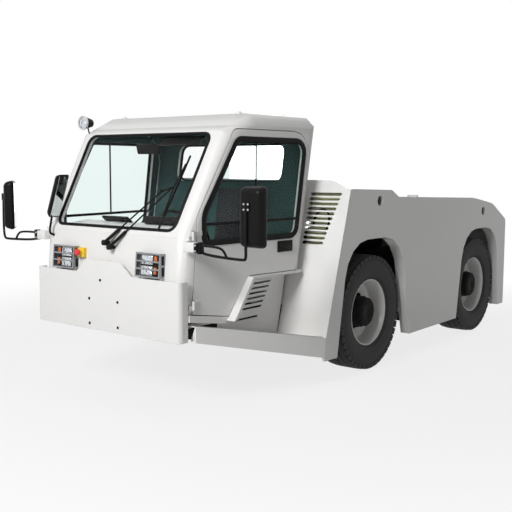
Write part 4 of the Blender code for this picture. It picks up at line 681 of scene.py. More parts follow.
class TractorSeals(bpy.types.Operator):
    """Black glazing rubber round the windscreen, rear window and door windows"""

    bl_idname = "tractor.seals"
    bl_label = "Window seals"
    sunk = 0.014

    def execute(self, context):
        self.seal("windscreen_seal", "windscreen", FRONT, BODY, sizes().screen_seal)
        self.seal("rear_window_seal", "rear_window", REAR, BODY, sizes().rear_seal)
        for side, sign in SIDES:
            body, pane_name = f"cab_door_{side}", f"door_glass_{side}"
            place = self.seal(f"door_seal_{side}", pane_name, X_AXIS * sign, body, sizes().door_seal)
            self.rails(side, body, place, outline_of(pane_name, place))
        return {"FINISHED"}

    def seal(self, name, pane_name, outward, body, width):
        """A flattened tube that follows the pane's outline; gives back the pane's placement."""
        place = face_of(pane_name, outward)
        data = tube([(x, y, 0) for x, y in outline_of(pane_name, place)], width / 2, cyclic=True)
        moved(data, Matrix.Diagonal((1, 1, sizes().seal_proud / (width / 2), 1)))
        moved(data, place @ Matrix.Translation((0, 0, self.sunk)))
        piece(name, data, "seal_rubber", body)
        return place

    def rails(self, side, body, place, spots):
        """The slide rail and upright of a door's window."""
        low, top = min(y for _, y in spots), max(y for _, y in spots)
        left, right = min(x for x, _ in spots), max(x for x, _ in spots)
        middle = (left + right) / 2
        tall = top - low - 0.16
        rows = (
            ((middle, low + 0.135, 0.003), (right - left - sizes().door_seal, 0.022, 0.010)),
            ((middle, low + 0.145 + tall / 2, 0.002), (0.016, tall, 0.007)),
        )
        piece(f"window_rail_{side}", soft_blocks(rows, 0.002, place), "seal_rubber", body)


def rim_profile(half, lip):
    """The dished rim from the hub face out over both flanges: (across, radius)."""
    disc = half - DISC_INSET
    dish = ((0.004, 0.120), (0.004, 0.178), (0.018, 0.225), (0.035, 0.256), (0.060, 0.266))
    flange = [
        (half - 0.030, 0.273),
        (half - 0.012, 0.282),
        (half - 0.001, lip - 0.010),
        (half + 0.001, lip - 0.003),
        (half - 0.004, lip),
        (half - 0.010, lip - 0.002),
        (half - 0.012, 0.287),
        (-half + 0.012, 0.287),
        (-half + 0.010, lip),
        (-half, lip - 0.002),
        (-half, lip - 0.012),
    ]
    back = [(disc - 0.012, 0.250), (disc - 0.012, 0.120), (disc + 0.004, 0.120)]
    return [(disc + across, radius) for across, radius in dish] + flange + back


def hub_profile(disc):
    """Planetary hub: bolted flange, ribbed drum and flat cover: (across, radius)."""
    section = (
        (-0.010, 0.0), (-0.010, 0.150), (0.018, 0.165), (0.022, 0.165), (0.024, 0.136),
        (0.088, 0.133), (0.092, 0.139), (0.106, 0.139), (0.110, 0.132), (0.150, 0.127),
        (0.160, 0.119), (0.164, 0.106), (0.164, 0.046), (0.160, 0.040), (0.160, 0.0),
    )
    return [(disc + across, radius) for across, radius in section]


def wheel_room(name):
    """Half the width and half the height of a wheel or tyre, and its place on the left side."""
    low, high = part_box(name)
    middle = (low + high) / 2
    place = Matrix.Translation((abs(middle.x), middle.y, middle.z))
    return (high.x - low.x) / 2, (high.z - low.z) / 2, place


class TractorWheels(bpy.types.Operator):
    """Dished rims with planetary hubs and ten nuts each"""

    bl_idname = "tractor.wheels"
    bl_label = "Rims and hubs"
    nut_count = 10
    nut_circle = 0.150
    cover_screws = 8
    screw_circle = 0.088

    def execute(self, context):
        for end, side, sign in WHEELS:
            name, body = f"{end}_wheel_{side}", f"{end}_roll_{side}"
            half, lip, place = wheel_room(name)
            disc = half - DISC_INSET
            rim = moved(spun(rim_profile(half, lip), 64), place)
            rim = piece(f"{end}_rim_{side}", rim, "body_paint", body, sign)
            hub = moved(spun(hub_profile(disc), 48), place)
            hub = piece(f"{end}_hub_{side}", hub, "chassis_paint", body, sign)
            piece(f"{end}_nuts_{side}", moved(self.nuts(disc), place), "chassis_paint", body, sign)
            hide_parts(name)
            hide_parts(name)
        return {"FINISHED"}

    def nuts(self, disc):
        """Washer, nut and stud end for each wheel nut, and the cover's screws."""
        data = bmesh.new()
        nut = sizes().nut
        for y, z in round_places(self.nut_count, self.nut_circle):
            rod(data, (disc + 0.018, y, z), (disc + 0.026, y, z), nut * 0.62, 16)
            rod(data, (disc + 0.024, y, z), (disc + 0.046, y, z), nut / 2, 6)
            rod(data, (disc + 0.044, y, z), (disc + 0.058, y, z), nut / 4, 10)
        for y, z in round_places(self.cover_screws, self.screw_circle, 0.5):
            rod(data, (disc + 0.162, y, z), (disc + 0.170, y, z), 0.008, 6)
        return data


def tyre_profile(half, radius, depth):
    """Section of a tyre from bead to crown and down the other side: (across, radius)."""
    bead = 0.288
    rise = radius - bead
    # shares of the half width and of the rise from bead to crown
    wall = (
        (0.70, 0.0), (0.74, 0.05), (0.88, 0.14), (0.91, 0.17), (0.935, 0.18), (0.975, 0.34),
        (1.0, 0.50), (0.995, 0.62), (0.965, 0.78), (0.93, 0.86), (0.86, 0.945),
    )
    # share of the half width, and how far under the crown
    tread = (
        (0.74, 0.002), (0.50, 0), (0.49, depth), (0.43, depth), (0.42, 0), (0.13, 0),
        (0.12, depth), (0.06, depth), (0.05, 0),
    )
    section = [(half * share, bead + rise * part) for share, part in wall]
    section += [(half * share, radius - drop) for share, drop in tread]
    return section + [(-across, height) for across, height in reversed(section)] + section[:1]


class TractorTyres(bpy.types.Operator):
    """Tyres with ribs round the tread and lugs along the shoulders"""

    bl_idname = "tractor.tyres"
    bl_label = "Tyres"
    lug_count = 44

    def execute(self, context):
        for end, side, sign in WHEELS:
            name = f"{end}_tyre_{side}"
            half, _, place = wheel_room(name)
            radius = place.translation.z
            data = spun(tyre_profile(half, radius, sizes().tread_depth), 88)
            pitch = math.tau / self.lug_count
            lug = (half * 0.16, radius * pitch * 0.80, radius * 0.066)
            for count in range(self.lug_count):
                for way, lag in ((-1, 0), (1, 0.5 * pitch)):
                    turn = Matrix.Rotation(count * pitch + lag, 4, "X")
                    block(data, (way * half * 0.905, 0, radius * 0.952), lug, turn)
            moved(data, place)
            tyre = piece(f"{end}_tread_{side}", data, "tyre_rubber", f"{end}_roll_{side}", sign)
            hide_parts(name)
        return {"FINISHED"}


class TractorFront(bpy.types.Operator):
    """Headlamp lenses and signals, stop button, plate screws and the windscreen wiper"""

    bl_idname = "tractor.front"
    bl_label = "Front fittings"
    lamp_rim = (0.114, 0.069, 0.004)
    lamp_lens = (0.104, 0.060, 0.008)
    signal_size = (0.028, 0.050, 0.008)
    # size of each black block on a guard's side, painted shade in the place of a slot
    slot_shade_size = (0.001, 0.026, 0.066)
    # radii of the wiper's caps, its arms before and after the knee, and its blade
    cap_radius = 0.022
    arm_radii = (0.013, 0.006)
    blade_radius = 0.0065
    screw_places = ((-0.030, 0.930), (-0.158, 0.778), (0.158, 0.778), (-0.158, 0.585), (0.158, 0.585))
    button = (
        (0.014, 0.0), (0.014, 0.0235), (0.019, 0.0262), (0.031, 0.0262),
        (0.036, 0.0225), (0.0378, 0.012), (0.0382, 0.0),
    )

    def execute(self, context):
        for side, sign in SIDES:
            self.lamp(side, sign)
        mushroom = moved(spun(self.button, 28), Matrix.Rotation(-math.pi / 2, 4, "Y"))
        piece("stop_mushroom", moved(mushroom, face_of("emergency_stop", FRONT)), "stop_button")
        self.screws()
        self.wiper()
        return {"FINISHED"}

    def lamp(self, side, sign):
        """Two silver-rimmed lenses and two ambers on a shell, and black blocks on the guard's sides: painted
        shade for its side slots.
        """
        name = f"headlamp_{side}"
        place = face_of(name, FRONT)
        low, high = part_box(name)
        wide, tall = high.x - low.x, high.z - low.z
        shell = soft_blocks([((0, 0, 0.0015), (wide, tall * 0.97, 0.003))], 0.001, place)
        piece(f"lamp_shell_{side}", shell, "moulded_black")
        signals = []
        for row, level in ((-1, "low"), (1, "high")):
            height = row * tall * 0.235
            across = -sign * wide * 0.13
            rim = soft_blocks([((across, height, 0.0045), self.lamp_rim)], 0.0015, place)
            piece(f"lamp_rim_{level}_{side}", rim, "work_silver")
            lens = soft_blocks([((across, height, 0.0075), self.lamp_lens)], 0.0035, place, 4)
            piece(f"lamp_lens_{level}_{side}", lens, "lamp_lens")
            signals.append(((sign * wide * 0.385, height + 0.004, 0.006), self.signal_size))
        low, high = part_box(f"lamp_guard_{side}")
        middle = (low + high) / 2
        # thin black blocks just outside the guard's side plates: painted shade standing in for the dark seen
        # through its side slots
        slots = bmesh.new()
        for edge in (low.x - 0.0004, high.x + 0.0004):
            for row in (-1, 1):
                block(slots, (edge, middle.y + 0.004, middle.z + row * 0.041), self.slot_shade_size)
        piece(f"guard_slot_shade_{side}", slots, "moulded_black")
        piece(f"turn_signal_{side}", soft_blocks(signals, 0.002, place), "amber_lens")

    def screws(self):
        data = bmesh.new()
        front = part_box("front_plate")[0][1]
        for across, height in self.screw_places:
            rod(data, (across, front + 0.004, height), (across, front - 0.003, height), sizes().screw, 20)
            rod(data, (across, front, height), (across, front - 0.0045, height), sizes().screw / 2, 6)
        soften(data, 0.0006, 1)
        piece("plate_screws", data, "chassis_paint")

    def wiper(self):
        """Two parallel arms on the panel that carry one blade over the glass."""
        data = bmesh.new()
        pivots = (on_plane(PANEL, -0.010, 1.212), on_plane(PANEL, 0.049, 1.182))
        joints = (on_plane(SCREEN, 0.431, 1.591, 0.045), on_plane(SCREEN, 0.520, 1.614, 0.045))
        out = on_plane(PANEL, 0, 1.2, 1.0) - on_plane(PANEL, 0, 1.2)
        for pivot, joint in zip(pivots, joints):
            rod(data, pivot - out * 0.004, pivot + out * 0.055, 0.016, 18)
            rod(data, pivot + out * 0.030, pivot + out * 0.058, self.cap_radius, 18)
            root = pivot + out * 0.046
            knee = root.lerp(joint, 0.27)
            rod(data, root, knee, self.arm_radii[0], 12)
            rod(data, knee, joint, self.arm_radii[1], 10)
            rod(data, joint - out * 0.012, joint + out * 0.012, 0.010, 12)
        rod(data, joints[0], joints[1], 0.007, 10)
        top, low = on_plane(SCREEN, 0.552, 1.866, 0.014), on_plane(SCREEN, 0.500, 1.321, 0.014)
        glass_out = on_plane(SCREEN, 0, 1.5, 1.0) - on_plane(SCREEN, 0, 1.5)
        yoke = top.lerp(low, 0.45) + glass_out * 0.026
        rod(data, yoke, joints[0].lerp(joints[1], 0.7), 0.009, 12)
        for share in (0.12, 0.80):
            rod(data, yoke, top.lerp(low, share) + glass_out * 0.008, 0.006, 8)
        rod(data, top, low, self.blade_radius, 8)
        rod(data, top - glass_out * 0.008, low - glass_out * 0.008, 0.0035, 6)
        piece("wiper", data, "moulded_black")


class TractorDoors(bpy.types.Operator):
    """Door handles with their locks"""

    bl_idname = "tractor.doors"
    bl_label = "Door fittings"
    station = 1.167
    height = 1.160

    def execute(self, context):
        out = Vector((1, -CAB_FLARE, 0)).normalized()
        along = Vector((CAB_FLARE, 1, 0)).normalized()
        place = placed(along, UP, out, at(cab_half(self.station), self.station, self.height))
        for side, sign in SIDES:
            handle = bmesh.new()
            block(handle, (0, 0, 0.003), (0.182, 0.090, 0.008))
            block(handle, (-0.014, 0.006, 0.024), (0.140, 0.030, 0.014))
            for across in (-0.072, 0.044):
                block(handle, (across, 0.006, 0.014), (0.018, 0.030, 0.024))
            rod(handle, (0.068, 0.004, 0.004), (0.068, 0.004, 0.016), 0.014, 20)
            soften(handle, 0.003)
            piece(f"door_handle_{side}", moved(handle, place), "moulded_black", f"cab_door_{side}", sign)
        return {"FINISHED"}


class TractorMirrors(bpy.types.Operator):
    """Two main mirrors on their arms, the small one on the right pillar, and the work lamp's lens"""

    bl_idname = "tractor.mirrors"
    bl_label = "Mirrors and work lamp"
    # toe towards the driver in degrees, and how far in from the solid's outer face
    stance = {"left": (4, 0.001), "right": (42, 0.075)}
    shell_size = (0.205, 0.088, 0.430)
    glass_size = (0.158, 0.003, 0.372)
    bracket_size = (0.098, 0.068, 0.069)
    pillar_shell_size = (0.128, 0.376, 0.052)
    pillar_glass_size = (0.100, 0.340, 0.002)
    lamp_rim = (
        (0.0, 0.046), (0.0, 0.0585), (-0.010, 0.0605), (-0.016, 0.058), (-0.016, 0.047), (0.0, 0.046),
    )
    lamp_dome = ((-0.004, 0.0), (-0.004, 0.048), (-0.010, 0.046), (-0.014, 0.030), (-0.015, 0.0))
    arm_radius = 0.010
    stay_radius = 0.009

    def execute(self, context):
        for side, sign in SIDES:
            for part in self.main_mirror(side, sign, *self.stance[side]):
                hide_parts(f"mirror_{side}")
        self.pillar_mirror()
        turn = Matrix.Translation(at(-0.724, 0.465, 2.153)) @ Matrix.Rotation(math.pi / 2, 4, "Z")
        piece("work_lamp_rim", moved(spun(self.lamp_rim, 40), turn), "work_silver")
        piece("work_lamp_lens", moved(spun(self.lamp_dome, 40), turn), "lamp_lens")
        return {"FINISHED"}

    def main_mirror(self, side, sign, toe, inward):
        """A bulging housing, toed in to the driver, on two bent tubes clamped to the pillar."""
        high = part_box("mirror_left")[1]
        angle = math.radians(toe)
        reach = 0.105 * math.cos(angle) + 0.044 * math.sin(angle)
        centre = Vector((high.x - reach - inward, NOSE + 0.110, high.z - 0.215))
        turn = tilted(centre, toe, "Z")
        shell = bmesh.new()
        for vert in block(shell, (0, 0, 0), self.shell_size):
            if vert.co.y < 0:
                vert.co.x *= 0.84
                vert.co.z *= 0.88
        soften(shell, 0.034, 6)
        housing = piece(f"mirror_housing_{side}", moved(shell, turn), "mirror_black", side=sign)
        glass = soft_blocks([((0, 0.0445, 0), self.glass_size)], 0.001)
        piece(f"mirror_glass_{side}", moved(glass, turn), "mirror_glass", side=sign)
        root = turn @ Vector((-0.018, -0.044, 0))
        front, post = root.y, root.x
        route = [
            at(0.895, 0.110, 1.207),
            at(0.945, 0.105, 1.180),
            at(post - 0.030, front - NOSE + 0.004, 1.172),
            Vector((post, front - 0.006, 1.185)),
            Vector((post, front - 0.012, 1.300)),
            Vector((post, front - 0.006, centre.z + 0.085)),
        ]
        arm = piece(f"mirror_post_{side}", pipe(route, self.arm_radius), "mirror_black", side=sign)
        route = [
            at(0.895, 0.092, 1.246),
            at(1.060, 0.080, 1.246),
            at(1.125, 0.078, 1.232),
            at(1.160, 0.076, 1.180),
        ]
        stay = piece(f"mirror_stay_{side}", pipe(route, self.stay_radius), "mirror_black", side=sign)
        rows = (
            (at(0.880, 0.100, 1.226), (0.034, 0.058, 0.066)),
            (at(0.903, 0.100, 1.226), (0.030, 0.044, 0.084)),
            (Vector((post, front - 0.002, centre.z + 0.070)), (0.050, 0.016, 0.060)),
        )
        clamp = soft_blocks(rows, 0.005, segments=3)
        clamp = piece(f"mirror_clamp_{side}", clamp, "mirror_black", side=sign)
        bracket = soft_blocks([(at(0.817, 0.100, 1.229), self.bracket_size)], 0.004)
        bracket = piece(f"mirror_bracket_{side}", bracket, "body_paint", side=sign)
        screws = bmesh.new()
        for across in (-0.018, 0.018):
            for height in (0.052, 0.088):
                spot = Vector((post + across, front - 0.009, centre.z + height))
                rod(screws, spot, spot + FRONT * 0.005, 0.0065, 12)
        for height in (1.206, 1.246):
            rod(screws, at(0.880, 0.074, height), at(0.880, 0.065, height), 0.007, 6)
        piece(f"mirror_screws_{side}", screws, "work_silver", side=sign)
        return housing, clamp, bracket, arm, stay

    def pillar_mirror(self):
        """A wide-angle mirror beside the windscreen's right edge, leaning with the pillar."""
        lean = Vector((0.341, 0.031, 0.940)).normalized()
        facing = Vector((0.934, 0.101, -0.342))
        facing = (facing - lean * facing.dot(lean)).normalized()
        place = placed(lean.cross(facing), lean, facing, at(-0.570, 0.067, 1.552))
        shell = bmesh.new()
        for vert in block(shell, (0, 0, -0.024), self.pillar_shell_size):
            if vert.co.z < -0.03:
                vert.co.x *= 0.84
                vert.co.y *= 0.84
        soften(shell, 0.020, 5)
        piece("pillar_mirror", moved(shell, place), "mirror_black")
        glass = soft_blocks([((0, 0, 0.0025), self.pillar_glass_size)], 0.0008, place, 1)
        piece("pillar_mirror_glass", glass, "mirror_glass")
        route = [
            on_plane(PANEL, -0.660, 1.240),
            on_plane(PANEL, -0.665, 1.250, 0.045),
            at(-0.655, 0.040, 1.330),
            place @ Vector((0, -0.120, -0.030)),
        ]
        piece("pillar_mirror_arm", pipe(route, self.stay_radius), "mirror_black")


class TractorLining(bpy.types.Operator):
    """Dark lining on the inside of the cab's walls, roof and doors"""

    bl_idname = "tractor.lining"
    bl_label = "Cab lining"
    # depths inside the outer skin between which a face belongs to the inner wall
    wall = 0.0385
    deepest = 0.060
    thickness = 0.004
    shells = {
        "cab_frame": BODY,
        "cab_roof": BODY,
        "cab_front": BODY,
        "door_left": "cab_door_left",
        "door_right": "cab_door_right",
    }

    def execute(self, context):
        for name, body in self.shells.items():
            data = bmesh.new()
            data.from_mesh(NODES[name].data)
            bmesh.ops.remove_doubles(data, verts=data.verts, dist=WELD)
            outside = [face for face in data.faces if not self.inner(face)]
            bmesh.ops.delete(data, geom=outside, context="FACES")
            bmesh.ops.dissolve_limit(
                data, angle_limit=math.radians(1), verts=data.verts, edges=data.edges
            )
            bmesh.ops.triangulate(data, faces=[face for face in data.faces if len(face.verts) > 4])
            bmesh.ops.solidify(data, geom=data.faces[:], thickness=-self.thickness)
            bmesh.ops.recalc_face_normals(data, faces=data.faces)
            piece(f"{name}_lining", data, "cab_lining", body)
        return {"FINISHED"}

    def inner(self, face):
        return all(self.wall < self.depth(vert.co) < self.deepest for vert in face.verts)

    def depth(self, point):
        """How far a point lies inside the cab's outer skin."""
        station, height = point.y - NOSE, point.z
        gaps = [ROOF_TOP - height, cab_half(station) - abs(point.x)]
        for plane, way in ((PANEL, 1), (SCREEN, 1), (BACK_WALL, -1)):
            ahead = station - along_plane(plane, height)
            gaps.append(way * ahead * math.cos(math.atan(plane[1])))
        for (foot, level), slope in ROOF_SLOPES:
            gaps.append((level + slope * (station - foot) - height) * math.cos(math.atan(slope)))
        return min(gaps)


class TractorCabinet(bpy.types.Operator):
    """Small things in the cab: mirror, sun visor, dash top, instruments, levers, pedals and mat"""

    bl_idname = "tractor.cabinet"
    bl_label = "Cab fittings"
    mirror_size = (0.250, 0.022, 0.085)
    visor_size = (0.420, 0.012, 0.110)
    cover_size = (1.200, 0.220, 0.100)
    dial_places = (-0.110, -0.037, 0.037, 0.110)
    switch_size = (0.026, 0.022, 0.008)
    pedal_size = (0.075, 0.014, 0.110)
    mat_size = (1.360, 0.780, 0.006)

    def execute(self, context):
        self.overhead()
        self.dash()
        self.levers()
        self.pedals()
        return {"FINISHED"}

    def overhead(self):
        centre = at(-0.020, 0.520, 1.930)
        mirror = soft_blocks([((0, 0, 0), self.mirror_size)], 0.009, tilted(centre, 16), 3)
        rod(mirror, centre + Vector((0, 0.005, 0.030)), centre + Vector((0, 0.045, 0.115)), 0.007, 12)
        piece("inside_mirror", mirror, "moulded_black")
        turn = tilted(at(0.340, 0.520, 1.985), -50)
        piece("sun_visor", soft_blocks([((0, 0, 0), self.visor_size)], 0.005, turn), "moulded_black")

    def dash(self):
        """Pale top, lightened as painted light for the light the glass holds back, instrument hood with four
        dials and six switches, and a pad beside it.
        """
        turn = tilted(at(0, 0.262, 1.292), 8)
        cover = soft_blocks([((0, 0, 0), self.cover_size)], 0.014, turn, 3)
        piece("dash_cover", cover, "dash_pale_lightened")
        binnacle = tilted(at(0.330, 0.350, 1.350), -38)
        rows = (
            ((0, 0, 0), (0.360, 0.150, 0.055)),
            ((-0.500, -0.02, -0.004), (0.300, 0.120, 0.020)),
        )
        piece("instrument_hood", soft_blocks(rows, 0.012, binnacle, 3), "moulded_black")
        dials = bmesh.new()
        for across in self.dial_places:
            start = binnacle @ Vector((across, 0.005, 0.026))
            rod(dials, start, binnacle @ Vector((across, 0.005, 0.030)), 0.027, 24)
        for count in range(6):
            block(dials, (-0.120 + count * 0.048, -0.052, 0.028), self.switch_size, binnacle)
        soften(dials, 0.001, 1)
        piece("dials_and_switches", dials, "guard_steel")

    def levers(self):
        data = bmesh.new()
        for across, station, tilt in ((0.045, 0.830, 0.05), (0.045, 0.900, -0.02)):
            foot, tip = at(across, station, 0.960), at(across - 0.010, station - tilt, 1.190)
            rod(data, foot, tip, 0.007, 10)
            rod(data, tip - Vector((0, 0, 0.045)), tip + Vector((0, 0, 0.012)), 0.019, 14, 0.013)
        block(data, at(0.020, 0.880, 0.810), (0.110, 0.330, 0.310))
        soften(data, 0.005, 1)
        piece("lever_console", data, "moulded_black")

    def pedals(self):
        data = bmesh.new()
        for across in (0.240, 0.370):
            block(data, (0, 0, 0), self.pedal_size, tilted(at(across, 0.455, 0.760), -35))
            rod(data, at(across, 0.460, 0.720), at(across, 0.420, 0.670), 0.008, 10)
        block(data, at(0.0, 0.800, 0.6545), self.mat_size)
        soften(data, 0.002, 1)
        piece("pedals_and_mat", data, "seal_rubber")


class TractorBodywork(bpy.types.Operator):
    """Coolers, grip edges on the steps, roof pads, lid latches, deck bolts, rear lamps and hinge pins"""

    bl_idname = "tractor.bodywork"
    bl_label = "Body fittings"
    core_rows = 23
    core_pitch = 0.018
    core_foot = 1.135
    slat_size = (0.330, 0.012, 0.010)
    back_size = (0.340, 0.010, 0.470)
    hose_radius = 0.009
    teeth = 34
    pad_stations = (0.850, 1.440)
    pad_across = 0.640
    # the engine lid's slope down to the rear, then the bolt rows: station and height of the deck
    lid_fall = 0.0335
    bolt_rows = ((1.820, 1.5937), (4.250, 1.4459), (4.900, 1.2839))
    hinge_heights = (0.800, 1.300)
    lens_pitch = 0.068
    rear_lens = ((0.0, 0.0), (0.0, 0.030), (0.004, 0.029), (0.008, 0.020), (0.010, 0.0))

    def execute(self, context):
        self.on_both_sides(self.cooler, self.step_edge)
        self.roof_pads()
        self.latches()
        self.on_both_sides(self.rear_lamp, self.hinge_pins)
        return {"FINISHED"}

    def on_both_sides(self, *makers):
        """Makes each kind of piece on the left and then on the right."""
        for maker in makers:
            for side, sign in SIDES:
                maker(side, sign)

    def cooler(self, side, sign):
        """Olive core and a hose loop, seen through the bulkhead's slots; the core's colour is lightened as
        painted light against the shade it sits in.
        """
        core = bmesh.new()
        for row in range(self.core_rows):
            height = self.core_foot + row * self.core_pitch
            spot = at(0.945, along_plane(BULKHEAD, height) + 0.045, height)
            block(core, spot, self.slat_size)
        lean = Matrix.Rotation(-math.atan(BULKHEAD[1]), 4, "X")
        block(core, (0, 0, 0), self.back_size, Matrix.Translation(at(0.945, 1.672, 1.342)) @ lean)
        piece(f"cooler_{side}", core, "cooler_green_lightened", side=sign)
        loop = []
        for degrees in range(200, -55, -15):
            angle = math.radians(degrees)
            height = 1.330 + math.sin(angle) * 0.110
            station = along_plane(BULKHEAD, height) + 0.022
            loop.append(at(0.915 + math.cos(angle) * 0.075, station, height))
        piece(f"cooler_hose_{side}", pipe(loop, self.hose_radius), "seal_rubber", side=sign)

    def step_edge(self, side, sign):
        """A toothed grip strip along the outer edge of the step's top."""
        start, end = at(0.962, 0.720, 0.542), at(1.146, 1.300, 0.431)
        run = (end - start).length
        along = (end - start).normalized()
        across = along.cross(UP).normalized()
        place = placed(along, across, across.cross(along) * -1, start)
        strip = bmesh.new()
        for tooth in range(self.teeth):
            middle = run * (tooth + 0.5) / self.teeth
            block(strip, (middle, -0.012, 0.006), (run / self.teeth * 0.55, 0.030, 0.011), place)
        block(strip, (run / 2, -0.012, 0.0022), (run, 0.036, 0.004), place)
        piece(f"step_grip_{side}", strip, "guard_steel", side=sign)

    def roof_pads(self):
        pads = bmesh.new()
        for across in (-self.pad_across, self.pad_across):
            for station in self.pad_stations:
                rod(pads, at(across, station, 2.199), at(across, station, 2.208), 0.030, 24)
                rod(pads, at(across, station, 2.206), at(across, station, 2.219), 0.014, 6)
        soften(pads, 0.0015)
        piece("roof_pads", pads, "body_paint")

    def latches(self):
        """Two paddle latches at the front corners of the engine lid and bolts on the decks."""
        fall = Matrix.Rotation(-math.atan(self.lid_fall), 4, "X")
        latches = bmesh.new()
        for across in (-0.950, 0.950):
            place = Matrix.Translation(at(across, 2.560, 1.5105)) @ fall
            block(latches, (0, 0, 0.003), (0.085, 0.110, 0.006), place)
            block(latches, (0, -0.010, 0.008), (0.052, 0.070, 0.007), place)
        soften(latches, 0.0025)
        piece("lid_latches", latches, "guard_steel", LID)
        bolts = bmesh.new()
        for across in (-1.000, -0.500, 0.0, 0.500, 1.000):
            for station, height in self.bolt_rows:
                foot, head = at(across, station, height - 0.004), at(across, station, height + 0.005)
                rod(bolts, foot, head, 0.010, 12)
        soften(bolts, 0.0008, 1)
        piece("deck_bolts", bolts, "guard_steel")

    def rear_lamp(self, side, sign):
        """Three round lenses in a black bezel."""
        low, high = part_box("rear_lamp_left")
        middle = (low + high) / 2
        size = (high.x - low.x + 0.012, 0.018, high.z - low.z + 0.012)
        bezel = soft_blocks([((middle.x, high.y - 0.010, middle.z), size)], 0.003)
        piece(f"rear_bezel_{side}", bezel, "moulded_black", side=sign)
        for row, look_name in enumerate(("amber_lens", "stop_button", "lamp_lens")):
            lens = moved(spun(self.rear_lens, 28), Matrix.Rotation(math.pi / 2, 4, "Z"))
            height = middle.z + (1 - row) * self.lens_pitch
            moved(lens, Matrix.Translation((middle.x, high.y - 0.001, height)))
            piece(f"rear_lens_{row}_{side}", lens, look_name, side=sign)

    def hinge_pins(self, side, sign):
        """Bright pins that stand out at the ends of the door hinges."""
        pins = bmesh.new()
        for height in self.hinge_heights:
            place = at(0.788, 0.150, height)
            rod(pins, place - UP * 0.040, place + UP * 0.040, 0.006, 14)
            rod(pins, place + UP * 0.034, place + UP * 0.041, 0.010, 14)
        piece(f"hinge_pins_{side}", pins, "guard_steel", side=sign)


class TractorSeat(bpy.types.Operator):
    """Driver's seat: padded cushion and tall back on a suspension base"""

    bl_idname = "tractor.seat"
    bl_label = "Driver's seat"
    back_height = 0.620
    cushion_deep = 0.400
    pad_thick = 0.100
    back_lean = 0.16
    pressure = 4.0
    last_frame = 14
    most_shift = 0.016

    def execute(self, context):
        low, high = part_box("driver_seat")
        wide = high.x - low.x
        middle = (low.x + high.x) / 2
        top = high.z - self.back_height
        foot = low.z + 0.002
        centre, size = (middle, low.y + 0.220, top - 0.062), (wide * 0.92, self.cushion_deep, self.pad_thick)
        cushion = self.pad("seat_cushion", centre, size, 0.0)
        centre, size = (middle, high.y - 0.105, top + 0.290), (wide * 0.88, 0.085, 0.500)
        back = self.pad("seat_back", centre, size, self.back_lean)
        deep = low.y + 0.225
        rows = [
            ((middle, deep, top - 0.150), (wide * 0.84, 0.360, 0.060)),
            ((middle, deep, (foot + top - 0.18) / 2), (wide * 0.62, 0.280, top - 0.18 - foot)),
            ((middle, deep, foot + 0.012), (wide * 0.74, 0.330, 0.024)),
        ]
        for fold in range(4):
            rows.append(((middle, deep, foot + 0.07 + fold * 0.055), (wide * 0.70, 0.305, 0.022)))
        base = piece("seat_base", soft_blocks(rows, 0.006), "moulded_black")
        for part in (cushion, back, base):
            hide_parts("driver_seat")
        return {"FINISHED"}

    def pad(self, name, centre, size, lean):
        """A padded block: inflated by a short cloth run, then subdivided."""
        data = bmesh.new()
        bmesh.ops.create_cube(data, size=1)
        bmesh.ops.subdivide_edges(data, edges=data.edges, cuts=11, use_grid_fill=True)
        for vert in data.verts:
            vert.co = [part * scale for part, scale in zip(vert.co, size)]
        moved(data, Matrix.Translation(centre) @ Matrix.Rotation(-lean, 4, "X"))
        obj = piece(name, data, "seat_cloth")
        self.inflate(obj)
        surface = obj.modifiers.new("surface", "SUBSURF")
        surface.levels = 1
        surface.render_levels = 1
        return obj

    def inflate(self, obj):
        """Moves each point as the blown-up cloth does, up to a limit."""
        cloth = obj.modifiers.new("cloth", "CLOTH")
        cloth.settings.use_pressure = True
        cloth.settings.uniform_pressure_force = self.pressure
        cloth.settings.effector_weights.gravity = 0.0
        cloth.point_cache.frame_start = 1
        cloth.point_cache.frame_end = self.last_frame
        scene = bpy.context.scene
        for step in range(1, self.last_frame + 1):
            scene.frame_set(step)
        graph = bpy.context.evaluated_depsgraph_get()
        after = [vert.co.copy() for vert in obj.evaluated_get(graph).data.vertices]
        obj.modifiers.remove(cloth)
        scene.frame_set(1)
        for vert, end in zip(obj.data.vertices, after):
            shift = end - vert.co
            if shift.length > self.most_shift:
                shift *= self.most_shift / shift.length
            vert.co += shift


# Stage

# share of the white background that lights the object
DIM_LIGHT = 0.13
# distances from the middle between which the floor fades, and how white it is at the near one
FADE_START = 2.6
FADE_END = 6.5
NEAR_WHITE = 0.80


def seen_directly(tree):
    """One for rays from the camera, in a reflection or through glass, zero for the rest."""
    path = node(tree, "ShaderNodeLightPath").outputs
    total = path["Is Camera Ray"]
    for name in ("Is Glossy Ray", "Is Transmission Ray"):
        add = node(tree, "ShaderNodeMath", {0: total, 1: path[name]}, operation="ADD", use_clamp=True)
        total = add.outputs["Value"]
    return total


def studio_world():
    """White where it is looked at, and a dimmer soft light on everything else."""
    world = bpy.data.worlds.new("studio")
    world.use_nodes = True
    tree = world.node_tree
    level = remap(tree, seen_directly(tree), to_min=DIM_LIGHT, to_max=1.0)
    feed(tree, tree.nodes["Background"], {"Color": (1, 1, 1, 1), "Strength": level})
    return world


